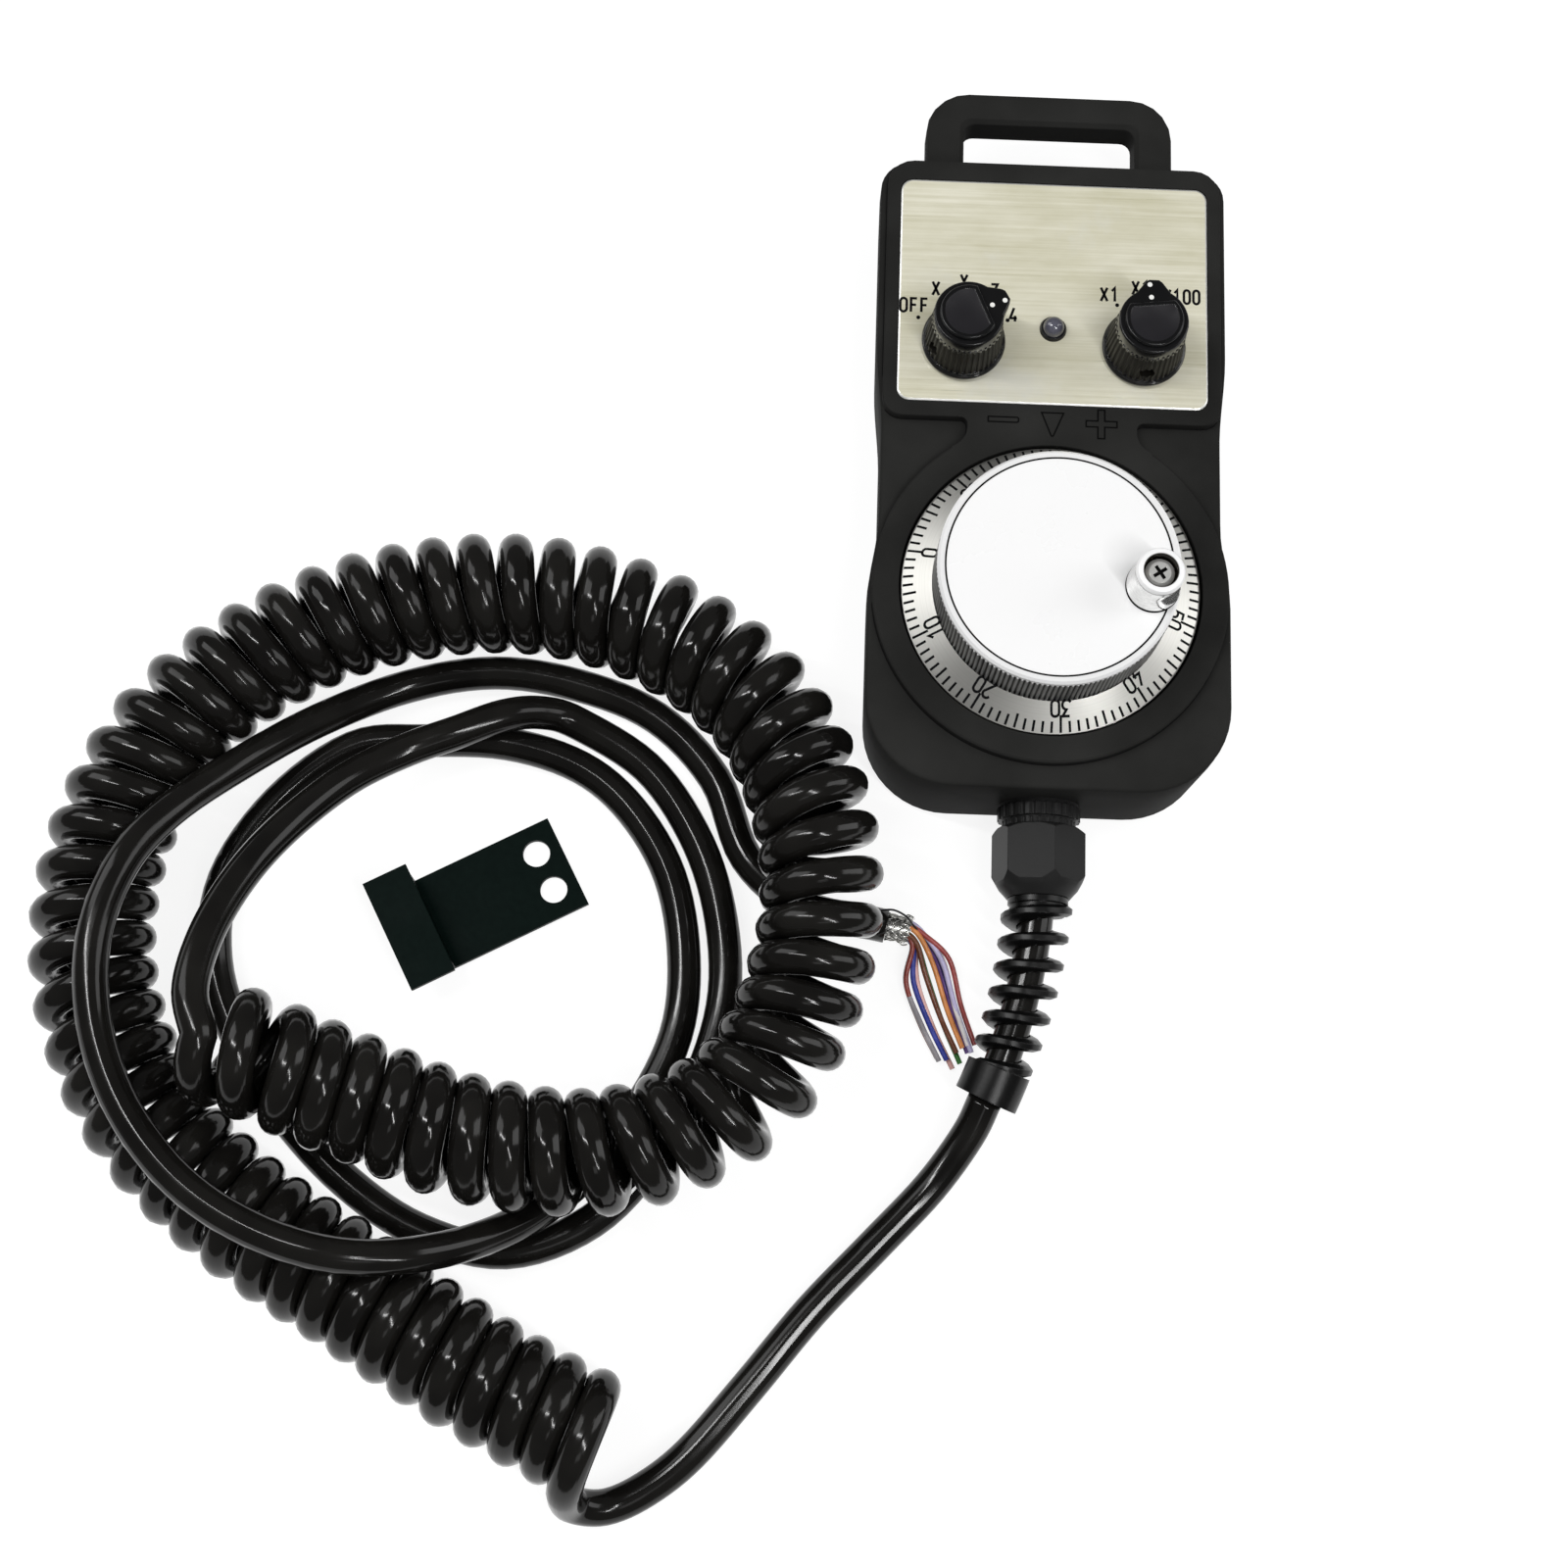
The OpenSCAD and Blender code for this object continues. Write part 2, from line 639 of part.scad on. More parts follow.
module rear_shell() {
  color("#1d1d1f") difference() {
    union() {
      difference() {
        union() {
          loft([
            drafted(outline(back_edge_r), 0), drafted(outline(back_edge_r * 0.5), back_edge_r * 0.14),
            drafted(outline(back_edge_r * 0.14), back_edge_r * 0.5), drafted(outline(0), back_edge_r),
            drafted(outline(0), split_z)
          ]);
          carrying_loop();
        }
        translate([0, 0, floor_t]) linear_extrude(split_z) polygon(outline(wall));
      }
      intersection() {
        at_screws() translate([0, 0, 1]) cylinder(r = boss_r, h = split_z - 1);
        translate([0, 0, 1]) linear_extrude(split_z) polygon(outline(1));
      }
    }
    at_screws() {
      translate([0, 0, -1]) cylinder(r = housing_screw_r + hole_gap, h = split_z + 2);
      translate([0, 0, -1]) cylinder(r = screw_head_r + 0.3, h = screw_head_depth + 1);
    }
    along_gland(wall_in_y + 1) cylinder(r = gland_thread_r + hole_gap, h = wall + 2);
    seal_line(split_z - 1, 2, 0.05);
  }
}

module shell_gasket() {
  color("#3a3a3a") seal_line(split_z - 1, 1.4, 0);
}

module housing_screws() {
  color("#8a8a8c") at_screws() difference() {
    union() {
      translate([0, 0, screw_head_depth - 2.2]) cylinder(r = screw_head_r, h = 2.2);
      translate([0, 0, screw_head_depth - eps])
        cylinder(r = housing_screw_r, h = split_z - screw_head_depth + 3.4);
    }
    translate([0, 0, screw_head_depth - 2.3]) cylinder(r = 1.2, h = 1.3, $fn = 6);
  }
}

module panel_plate() {
  color("#cfc8ae") difference() {
    translate([0, plate_y, plate_seat_z]) linear_extrude(plate_t)
      polygon(round_rect([plate_w / 2, plate_len / 2], plate_corner, plate_corner, [0, 0]));
    at_axis_knob() translate([0, 0, split_z]) cylinder(r = bushing_r + hole_gap, h = 20);
    at_multiplier_knob() translate([0, 0, split_z]) cylinder(r = bushing_r + hole_gap, h = 20);
    translate([0, lamp_y, split_z]) cylinder(r = socket_r + hole_gap, h = housing_t);
  }
}

// ---- Handwheel ----

module dial_ring() {
  color("#c9cacc") difference() {
    rotate_extrude($fn = 128) polygon([
      [dial_bore_r, dial_z],
      [dial_d / 2, dial_z],
      [dial_d / 2, dial_z + dial_edge_t],
      [drum_seat_r, dial_z + dial_edge_t + dial_rise * (dial_d / 2 - drum_seat_r)],
      [drum_seat_r, dial_top_z],
      [dial_bore_r, dial_top_z]
    ]);
    at_dial_screws() {
      translate([0, 0, dial_z - 1]) cylinder(r = 0.8 + hole_gap, h = 4);
      translate([0, 0, dial_z - 1]) cylinder(r = 1.7, h = 1.9);
    }
  }
}

module knurled_drum() {
  root_r = drum_d / 2 - tooth_depth;
  knurl = [
    for (i = [0:2 * teeth - 1]) let (a = 180 * i / teeth) (root_r + tooth_depth * (i % 2)) * [cos(a), sin(a)]
  ];
  color("#b9bbbe") difference() {
    union() {
      translate([0, 0, dial_top_z]) linear_extrude(drum_h - rim_h) polygon(knurl);
      translate([0, 0, drum_top_z - rim_h]) rotate_extrude($fn = 128)
        polygon([
          [0, 0], [rim_d / 2 - 0.3, 0], [rim_d / 2, 0.3], [rim_d / 2, rim_h - 0.5],
          [rim_d / 2 - 0.5, rim_h], [0, rim_h]
        ]);
    }
    difference() {
      translate([0, 0, dial_top_z - 1]) cylinder(r = root_r - drum_wall, h = drum_h - drum_roof + 1);
      translate([0, 0, dial_top_z + 1]) cylinder(r = hub_r, h = drum_h);
      at_crank() translate([0, 0, drum_top_z - drum_roof - 3]) cylinder(r = 3.6, h = 5);
    }
    translate([0, 0, drum_top_z - face_t]) cylinder(r = face_d / 2 + 0.05, h = 2, $fn = 96);
    translate([0, 0, dial_top_z - 1]) cylinder(r = shaft_r + 0.02, h = shaft_top_z - dial_top_z + 1.1);
    translate([0, 0, shaft_top_z]) cylinder(r = 1.25 + hole_gap, h = 8);
    translate([0, 0, drum_top_z - face_t - 2]) cylinder(r = 3, h = 4);
    at_crank() translate([0, 0, drum_top_z - drum_roof - 2]) cylinder(r = shoulder_r - 0.45, h = 8);
    at_dial_screws() translate([0, 0, dial_top_z - 1]) cylinder(r = 0.85, h = 5);
  }
}

module face_disc() {
  color("#e8e8ea") difference() {
    translate([0, 0, drum_top_z - face_t]) cylinder(r = face_d / 2, h = face_t, $fn = 96);
    at_crank() translate([0, 0, drum_top_z - 2]) cylinder(r = shoulder_r + hole_gap, h = 4);
  }
}

module dial_screws() {
  color("#9a9a9c") at_dial_screws() {
    translate([0, 0, dial_z + 0.1]) cylinder(r = 1.5, h = 0.8);
    translate([0, 0, dial_z + 0.8]) cylinder(r = 0.8, h = 4);
  }
}

module hub_screw() {
  seat_z = drum_top_z - face_t - 2;
  color("#9a9a9c") difference() {
    union() {
      translate([0, 0, seat_z]) cylinder(r = 2.7, h = 1.7);
      translate([0, 0, seat_z - 7]) cylinder(r = 1.25, h = 7.5);
    }
    translate([0, 0, seat_z + 0.6]) cylinder(r = 1.2, h = 2, $fn = 6);
  }
}

module crank_sleeve() {
  color("#d4d5d8") at_crank() rotate_extrude() polygon([
    [shoulder_r + turn_gap, sleeve_z],
    [sleeve_foot_r - 0.3, sleeve_z],
    [sleeve_foot_r, sleeve_z + 0.4],
    [sleeve_foot_r - 0.1, sleeve_z + 1.2],
    [sleeve_top_r - 0.3, sleeve_z + sleeve_h * 0.6],
    [sleeve_top_r, sleeve_top_z - 1],
    [sleeve_top_r - 0.4, sleeve_top_z - 0.15],
    [sleeve_top_r - 0.7, sleeve_top_z],
    [sleeve_bore_r + 0.3, sleeve_top_z],
    [sleeve_bore_r, sleeve_top_z - 0.3],
    [sleeve_bore_r, sleeve_floor_z],
    [shoulder_r + turn_gap, sleeve_floor_z]
  ]);
}

module crank_screw() {
  head_z = sleeve_floor_z + 0.1;
  color("#a9abae") at_crank() difference() {
    union() {
      translate([0, 0, crank_seat_z - face_t])
        cylinder(r = shoulder_r, h = head_z - crank_seat_z + face_t + eps);
      translate([0, 0, crank_seat_z - face_t - 3.6]) cylinder(r = shoulder_r - 0.5, h = 4);
      translate([0, 0, head_z]) cylinder(r = crank_head_r, h = 1.2);
      translate([0, 0, head_z + 1.2]) cylinder(r1 = crank_head_r, r2 = crank_head_r - 0.8, h = 0.7);
    }
    for (a = [45, 135]) rotate(a) translate([-1.5, -0.35, head_z + 0.9]) cube([3, 0.7, 2]);
  }
}

module crank_washer() {
  color("#b8babd") at_crank() translate([0, 0, crank_seat_z])
    tube_ring(sleeve_foot_r - 0.6, shoulder_r + turn_gap, washer_t);
}

// ---- Pulse generator ----

module encoder_body() {
  color("#2f3033") difference() {
    union() {
      translate([0, 0, flange_z]) cylinder(r = flange_r, h = flange_t, $fn = 96);
      translate([0, 0, encoder_z]) cylinder(r = encoder_r, h = flange_z - encoder_z + eps, $fn = 96);
    }
    difference() {
      translate([0, 0, encoder_z - 1]) cylinder(r = encoder_r - 1.8, h = flange_top_z - 3.5 - encoder_z + 1);
      translate([0, 0, rotor_z + 1]) cylinder(r = hub_tube_r, h = 20);
    }
    translate([0, 0, rotor_z]) cylinder(r = bearing_seat_r, h = housing_t);
    translate([0, 0, rotor_z]) cylinder(r = bearing_r + 0.01, h = 1 + bearing_t);
    translate([0, 0, flange_top_z - bearing_t]) cylinder(r = bearing_r + 0.01, h = 10);
    at_mount_screws() translate([0, 0, flange_z - 1]) cylinder(r = mount_screw_r + 0.05, h = 10);
  }
}

module encoder_gasket() {
  color("#4a3c34") difference() {
    translate([0, 0, recess_z]) tube_ring(flange_r, encoder_hole_r, gasket_t);
    at_mount_screws() translate([0, 0, recess_z - 1]) cylinder(r = mount_screw_r + hole_gap, h = 4);
  }
}

module encoder_screws() {
  color("#8a8a8c") at_mount_screws() {
    translate([0, 0, seat_z - 1.8]) cylinder(r = mount_head_r, h = 1.8);
    translate([0, 0, seat_z - eps]) cylinder(r = mount_screw_r, h = flange_top_z - seat_z - 0.1);
  }
}

module encoder_bearings() {
  color("#a0a2a5") for (z = [rotor_z + 1, flange_top_z - bearing_t])
    translate([0, 0, z]) tube_ring(bearing_r, shaft_r + turn_gap, bearing_t);
}

module encoder_shaft() {
  color("#b0b2b5") difference() {
    translate([0, 0, rotor_z - 2.2]) cylinder(r = shaft_r, h = shaft_top_z - rotor_z + 2.2);
    translate([0, 0, shaft_top_z - 8]) cylinder(r = 1.25 + 0.05, h = 10);
  }
}

module code_disc() {
  color("#5c6470") difference() {
    union() {
      translate([0, 0, rotor_z - 1.4]) cylinder(r = code_disc_r, h = 0.8);
      translate([0, 0, rotor_z - 2]) cylinder(r = 5, h = 2.6);
    }
    translate([0, 0, rotor_z - 4]) cylinder(r = shaft_r + 0.01, h = 8);
  }
}

module sensor_board() {
  board_z = encoder_z + 0.4;
  sensor_y = 12.5;
  color("#2c5b3a") {
    difference() {
      translate([0, 0, board_z]) cylinder(r = encoder_r - 2, h = 1.4);
      translate([0, 0, board_z - 1]) cylinder(r = 4, h = 4);
    }
    difference() {
      translate([-4, sensor_y, board_z + 1.4 - eps]) cube([8, 8, rotor_z - board_z + 0.6]);
      translate([-5, sensor_y - 1, rotor_z - 1.4 - face_gap]) cube([10, 5.2, 0.8 + 2 * face_gap]);
    }
  }
}

module encoder_cover() {
  color("#26272a") difference() {
    union() {
      translate([0, 0, encoder_z - cover_t]) cylinder(r = encoder_r, h = cover_t);
      translate([0, 0, encoder_z - eps]) tube_ring(encoder_r - 1.9, encoder_r - 3.4, 0.4);
    }
    for (i = [0:5]) translate([4 * i - 10, -9, encoder_z - cover_t - 1]) cylinder(r = 0.8, h = 5);
  }
}

module terminal_block() {
  color("#3b6b4a") difference() {
    translate([-13, -13, floor_t + 0.3]) cube([26, 8, encoder_z - cover_t - floor_t - 0.3]);
    for (i = [0:5]) translate([4 * i - 10, -9, floor_t - 1]) cylinder(r = 1.3, h = 3);
  }
}

// ---- Selector switches, each drawn on its own axis with its pointer along +Y ----

module rotary_switch() {
  difference() {
    union() {
      translate([0, 0, switch_z]) cylinder(r = switch_r, h = switch_h);
      translate([0, 0, switch_top_z - eps]) cylinder(r = bushing_r, h = bushing_top_z - switch_top_z);
      for (i = [0:5]) rotate(60 * i) translate([switch_r - 2, -0.6, switch_z - 2]) cube([0.8, 1.2, 2.5]);
    }
    translate([0, 0, switch_z + 2]) cylinder(r = spindle_r + turn_gap, h = 30);
  }
}

module switch_washer() {
  translate([0, 0, housing_t]) tube_ring(washer_r, bushing_r + 0.05, switch_washer_t);
}

module switch_nut() {
  difference() {
    translate([0, 0, nut_z]) hexagon(switch_nut_af, switch_nut_t);
    translate([0, 0, nut_z - 1]) cylinder(r = bushing_r + 0.03, h = 4);
  }
}

module spindle() {
  translate([0, 0, switch_z + 2.3]) cylinder(r = spindle_r, h = spindle_top_z - switch_z - 2.3);
}

module knob() {
  star = [
    for (i = [0:ribs - 1]) for (c = [[0, 1], [0.3, 1], [0.5, 0], [0.8, 0]])
      let (a = 360 * (i + c.x) / ribs) (skirt_r - rib_depth * (1 - c.y)) * [cos(a), sin(a)]
  ];
  difference() {
    union() {
      translate([0, 0, knob_z]) cylinder(r = knob_foot_r, h = foot_h - 0.3);
      translate([0, 0, knob_z + foot_h - 0.3]) cylinder(r1 = knob_foot_r, r2 = knob_foot_r - 0.3, h = 0.3);
      translate([0, 0, knob_z + foot_h - eps])
        linear_extrude(cap_z - knob_z - foot_h, scale = (cap_r + 0.15) / skirt_r) polygon(star);
    }
    translate([0, 0, knob_z - 1]) cylinder(r = knob_cavity_r, h = knob_cavity_z - knob_z + 1);
    translate([0, 0, knob_z]) cylinder(r = spindle_r + 0.02, h = spindle_top_z - knob_z + 0.3);
    translate([0, 0, cap_z - spigot_h]) cylinder(r = spigot_r + 0.03, h = 5);
    translate([0, 0, set_screw_z]) rotate([90, 0, 0]) cylinder(r = set_screw_r + 0.03, h = 12);
  }
}

module knob_cap() {
  chord = cap_r * 0.53;
  step_z = knob_top_z - 0.9;
  difference() {
    union() {
      translate([0, 0, cap_z - spigot_h + 0.1]) cylinder(r = spigot_r, h = spigot_h);
      rotate_extrude() polygon([
        [0, cap_z], [cap_r - 0.2, cap_z], [cap_r, cap_z + 0.3], [cap_r, step_z - 0.3],
        [cap_r - 0.5, step_z + 0.3], [cap_r - 1.2, knob_top_z], [0, knob_top_z]
      ]);
      translate([0, 0, cap_z + 0.2]) linear_extrude(step_z - cap_z - 0.9) polygon([
        [-4.1, 5.2], [4.1, 5.2], [1.7, pointer_reach - 0.5], [1, pointer_reach],
        [-1, pointer_reach], [-1.7, pointer_reach - 0.5]
      ]);
    }
    translate([-10, chord, step_z - 0.2]) cube([20, 10, 5]);
  }
}

module set_screw() {
  reach = spindle_r + 0.03;
  difference() {
    translate([0, -reach, set_screw_z]) rotate([90, 0, 0]) cylinder(r = set_screw_r, h = 3.2);
    translate([0, -reach - 2, set_screw_z]) rotate([90, 0, 0]) cylinder(r = 0.75, h = 3, $fn = 6);
  }
}

module axis_switch() { color("#35363a") at_axis_knob() rotate(axis_rest) rotary_switch(); }
module axis_switch_washer() { color("#b0b0b2") at_axis_knob() switch_washer(); }
module axis_switch_nut() { color("#b0b0b2") at_axis_knob() rotate(axis_rest) switch_nut(); }
module axis_spindle() { color("#a8a8aa") at_axis_knob() spindle(); }
module axis_knob() { color("#1b1b1c") at_axis_knob() knob(); }
module axis_knob_cap() { color("#161617") at_axis_knob() knob_cap(); }
module axis_knob_screw() { color("#555558") at_axis_knob() set_screw(); }
module multiplier_switch() { color("#35363a") at_multiplier_knob() rotary_switch(); }
module multiplier_switch_washer() { color("#b0b0b2") at_multiplier_knob() switch_washer(); }
module multiplier_switch_nut() { color("#b0b0b2") at_multiplier_knob() switch_nut(); }
module multiplier_spindle() { color("#a8a8aa") at_multiplier_knob() spindle(); }
module multiplier_knob() { color("#1b1b1c") at_multiplier_knob() knob(); }
module multiplier_knob_cap() { color("#161617") at_multiplier_knob() knob_cap(); }
module multiplier_knob_screw() { color("#555558") at_multiplier_knob() set_screw(); }

// ---- Signal lamp ----

module lamp_holder() {
  color("#9c9da0") translate([0, lamp_y, 0]) difference() {
    union() {
      translate([0, 0, housing_t]) cylinder(r1 = holder_r, r2 = holder_r - 0.3, h = 0.7);
      translate([0, 0, panel_ceiling_z - 3])
        cylinder(r = socket_r, h = housing_t - panel_ceiling_z + 3 + eps);
    }
    translate([0, 0, panel_ceiling_z - 4]) cylinder(r = lens_r + 0.02, h = 12);
  }
}

module lamp_lens() {
  color("#3c3432") translate([0, lamp_y, 0]) {
    translate([0, 0, panel_ceiling_z - 5]) cylinder(r = lens_r, h = housing_t + 0.9 - panel_ceiling_z + 5);
    translate([0, 0, housing_t + 0.9]) intersection() {
      sphere(r = lens_r);
      cylinder(r = lens_r + 1, h = lens_r + 1);
    }
  }
}

// ---- Cable gland ----

module gland_body() {
  inner_y = wall_in_y + locknut_l + 1;
  flange_y = wall_out_y - washer_l;
  color("#1e1e20") difference() {
    union() {
      along_gland(inner_y) cylinder(r = gland_thread_r, h = inner_y - flange_y + eps);
      along_gland(flange_y) cylinder(r = gland_flange_r, h = gland_flange_l);
      along_gland(flange_y - gland_flange_l + eps) cylinder(r = gland_flange_r - 0.9, h = gland_neck_l - 0.2);
      along_gland(flange_y - gland_flange_l) cylinder(r = inner_thread_r - 0.05, h = gland_neck_l + 6);
    }
    along_gland(0) cylinder(r = cable_bore_r, h = 80);
    for (i = [0:23]) along_gland(flange_y + 1) rotate(15 * i)
      translate([gland_flange_r + 0.35, 0, 0]) cylinder(r = 0.7, h = gland_flange_l + 1.05, $fn = 16);
    for (i = [0:29]) along_gland(flange_y - gland_flange_l - 0.3) rotate(12 * i)
      translate([gland_flange_r - 0.6, 0, 0]) cylinder(r = 0.5, h = gland_neck_l, $fn = 16);
  }
}

module gland_washer() {
  color("#2b2b2b") along_gland(wall_out_y) tube_ring(gland_flange_r - 0.4, gland_thread_r + 0.1, washer_l);
}

module gland_locknut() {
  color("#1e1e20") along_gland(wall_in_y + locknut_l) difference() {
    hexagon(locknut_af, locknut_l);
    translate([0, 0, -1]) cylinder(r = gland_thread_r + 0.03, h = locknut_l + 2);
  }
}

module gland_seal() {
  color("#303030") along_gland(nut_y - 6.2) tube_ring(seal_r, cable_r + 0.05, gland_nut_l - 8.4);
}

module gland_nut() {
  corner_r = gland_nut_af / sqrt(3) + 0.1;
  color("#1b1b1d") difference() {
    intersection() {
      along_gland(nut_y) rotate(gland_turn) hexagon(gland_nut_af, gland_nut_l + taper_l);
      along_gland(nut_y) rotate_extrude() polygon([
        [0, 0], [gland_nut_af / 2 + 0.1, 0], [corner_r, 1], [corner_r, gland_nut_l - 3],
        [gland_nut_af / 2 - 0.3, gland_nut_l], [relief_r0 - 0.8, gland_nut_l + taper_l],
        [0, gland_nut_l + taper_l]
      ]);
    }
    along_gland(nut_y + 1) cylinder(r = inner_thread_r, h = 7);
    along_gland(nut_y) cylinder(r = seal_r + 0.03, h = gland_nut_l - 2.2);
    along_gland(nut_y) cylinder(r = cable_bore_r + 0.2, h = 30);
  }
}

// Spiral of the strain relief: a fin wound on a bent axis, joined to a collar at its end
module strain_relief() {
  s_start = (relief_t / 2 + 0.3) / relief_l;
  s_end = 1 - collar_l / relief_l;
  steps = round(relief_turns * 16);
  fin = function (s) let (r = relief_r0 + (relief_r1 - relief_r0) * s, h = relief_t / 2) [
    [relief_root_r, -h], [relief_root_r, h], [r - 1, h * 0.85], [r, h * 0.4], [r, -h * 0.4], [r - 1, -h * 0.85]
  ];
  color("#1a1a1c") {
    loft([
      for (i = [0:steps]) let (
        s = s_start + (s_end - s_start) * i / steps,
        c = relief_point(s),
        t = relief_dir(s),
        u = unit(cross([0, 0, 1], t)),
        v = cross(t, u),
        a = 360 * relief_turns * i / steps
      ) [for (p = fin(s)) c + p.x * (cos(a) * u + sin(a) * v) + p.y * t]
    ]);
    along_gland(relief_y) tube_ring(relief_r0 - 1.1, relief_root_r + 0.2, 1.3);
    relief_sleeve(0.014, 0.07, relief_root_r, relief_r0 - 1.6);
    relief_sleeve(s_end - 0.015, 1, relief_root_r, collar_r);
  }
}

// Bent tube round the cable between two stretches of the relief's curve
module relief_sleeve(s0, s1, inner, outer) {
  difference() {
    loft([for (i = [0:4]) let (s = s0 + (s1 - s0) * i / 4) ring(relief_point(s), relief_dir(s), outer, 32)]);
    loft([
      for (i = [-1:5]) let (s = s0 + (s1 - s0) * i / 4)
        ring(relief_point(s), relief_dir(s), inner, 24)
    ]);
  }
}

module cable_in_gland() {
  straight = [[0, cable_start_y, gland_z], [0, nut_y, gland_z], [0, relief_y + 1, gland_z]];
  bent = [for (i = [0:8]) relief_point(i / 8)];
  color("#141415") tube(concat(straight, bent), cable_r, 16, [0, -1, 0], relief_dir(1));
}

// ---- Loose cord ----

module cord_lead() {
  route = concat(lead_route, [lead_end]);
  color("#0f0f10") tube(route, cable_r, 8, relief_dir(1), curl_route[1] - curl_route[0]);
}

module cord_curl() {
  last = len(curl_route) - 1;
  color("#101011") tube(
    curl_route, curl_d / 2, 12, curl_route[1] - curl_route[0], curl_route[last] - curl_route[last - 1]
  );
}

module cord_tail() {
  last = len(curl_route) - 1;
  route = concat([tail_start], tail_route);
  n = len(route) - 1;
  color("#0f0f10") tube(route, cable_r, 8, curl_route[last] - curl_route[last - 1], route[n] - route[n - 1]);
}

tail_end = tail_route[len(tail_route) - 1];
tail_dir = unit(tail_end - tail_route[len(tail_route) - 2]);
core_start = tail_end + tail_dir * braid_l;
core_side = unit(cross([0, 0, 1], tail_dir));

module cable_braid() {
  color("#b9b4a8") loft([
    ring(tail_end, tail_dir, braid_r, 16),
    ring(tail_end + tail_dir * braid_l * 0.6, tail_dir, braid_r - 0.1, 16),
    ring(core_start, tail_dir, core_ring_r + core_d / 2 + 0.1, 16)
  ]);
}

module core_wires() {
  for (i = [0:cores - 1]) {
    a = 360 * (i + 0.5) / cores;
    start = core_start + core_ring_r * (cos(a) * core_side + sin(a) * [0, 0, 1]);
    tip = core_tip + core_fan * (cos(a) + 0.2 * sin(a)) + [0, 0, core_d * (1 + sin(a))];
    bow = (start + tip) / 2 + core_d * [1.5 * cos(a), 1.5 * cos(a), sin(a)];
    color(["#b0413a", "#e8e4dc", "#2b3a7a", "#7a4a2a", "#d9822b", "#3d7a3d", "#7a5aa0"][i % 7])
      tube([start, (start * 3 + bow * 2) / 5, bow, (tip + bow) / 2, tip], core_d / 2, 8, tail_dir, tip - bow);
  }
}

// ---- Wall hanger ----

module wall_hanger() {
  riser = lip_gap + sheet_t;
  color("#1c211f") translate(hanger_place) rotate(hanger_angle) difference() {
    union() {
      translate([0, -hanger_w / 2, 0]) cube([hanger_len, hanger_w, sheet_t]);
      translate([-sheet_t, -hanger_w / 2, 0]) cube([sheet_t + eps, hanger_w, riser]);
      translate([-lip_len, -lip_w / 2, lip_gap]) cube([lip_len, lip_w, sheet_t]);
    }
    for (side = [-1, 1]) translate([hanger_len - hole_edge, side * hanger_pitch / 2, -1])
      cylinder(r = hanger_hole_r, h = sheet_t + 2);
  }
}

front_shell();
rear_shell();
shell_gasket();
housing_screws();
panel_plate();
dial_ring();
knurled_drum();
face_disc();
dial_screws();
hub_screw();
crank_sleeve();
crank_screw();
crank_washer();
encoder_body();
encoder_gasket();
encoder_screws();
encoder_bearings();
encoder_shaft();
code_disc();
sensor_board();
encoder_cover();
terminal_block();
axis_switch();
axis_switch_washer();
axis_switch_nut();
axis_spindle();
axis_knob();
axis_knob_cap();
axis_knob_screw();
multiplier_switch();
multiplier_switch_washer();
multiplier_switch_nut();
multiplier_spindle();
multiplier_knob();
multiplier_knob_cap();
multiplier_knob_screw();
lamp_holder();
lamp_lens();
gland_body();
gland_washer();
gland_locknut();
gland_seal();
gland_nut();
strain_relief();
cable_in_gland();
cord_lead();
cord_curl();
cord_tail();
cable_braid();
core_wires();
wall_hanger();
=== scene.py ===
import bpy, bmesh, math, random
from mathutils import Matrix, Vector
from mathutils.bvhtree import BVHTree


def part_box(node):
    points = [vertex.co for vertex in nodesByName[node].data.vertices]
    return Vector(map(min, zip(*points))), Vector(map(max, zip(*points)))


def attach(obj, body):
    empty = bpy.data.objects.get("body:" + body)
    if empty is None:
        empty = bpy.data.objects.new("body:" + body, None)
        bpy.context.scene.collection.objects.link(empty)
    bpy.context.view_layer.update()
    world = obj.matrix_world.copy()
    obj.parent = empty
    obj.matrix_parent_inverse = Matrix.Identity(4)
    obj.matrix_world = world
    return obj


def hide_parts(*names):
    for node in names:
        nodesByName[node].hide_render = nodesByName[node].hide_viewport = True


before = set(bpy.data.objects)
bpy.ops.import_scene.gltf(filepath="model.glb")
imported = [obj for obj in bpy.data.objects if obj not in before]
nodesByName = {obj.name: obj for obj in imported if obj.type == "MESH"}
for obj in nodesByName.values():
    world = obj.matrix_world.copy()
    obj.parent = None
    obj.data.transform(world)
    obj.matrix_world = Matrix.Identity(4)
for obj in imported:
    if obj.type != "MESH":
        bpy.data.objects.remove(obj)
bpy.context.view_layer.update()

mm = 0.001
scene = bpy.context.scene
scene.view_settings.view_transform = 'Standard'
random.seed(7)

fullTurn = 2 * math.pi
skyward = Vector((0, 0, 1))
weld = {"drawn": 1e-7, "cad": 2e-6}


# small helpers

def paint(red, green=None, blue=None):
    # screen colour 0-255, or a grey from one number, to the linear one that a shader wants
    def one(c):
        c = c / 255
        return c / 12.92 if c <= 0.04045 else ((c + 0.055) / 1.055) ** 2.4
    return (one(red), one(red if green is None else green), one(red if blue is None else blue), 1)


def smoothPath(points, steps):
    # Catmull-Rom curve through every point, with as many steps from each to the next
    pts = [Vector(p) for p in points]
    ends = [pts[0] * 2 - pts[1]] + pts + [pts[-1] * 2 - pts[-2]]
    path = []
    for i in range(1, len(ends) - 2):
        a, b, c, d = ends[i - 1:i + 3]
        for k in range(steps):
            t = k / steps
            path.append(0.5 * (2 * b + (c - a) * t + (2 * a - 5 * b + 4 * c - d) * t * t
                               + (3 * b - a - 3 * c + d) * t ** 3))
    path.append(pts[-1])
    return path


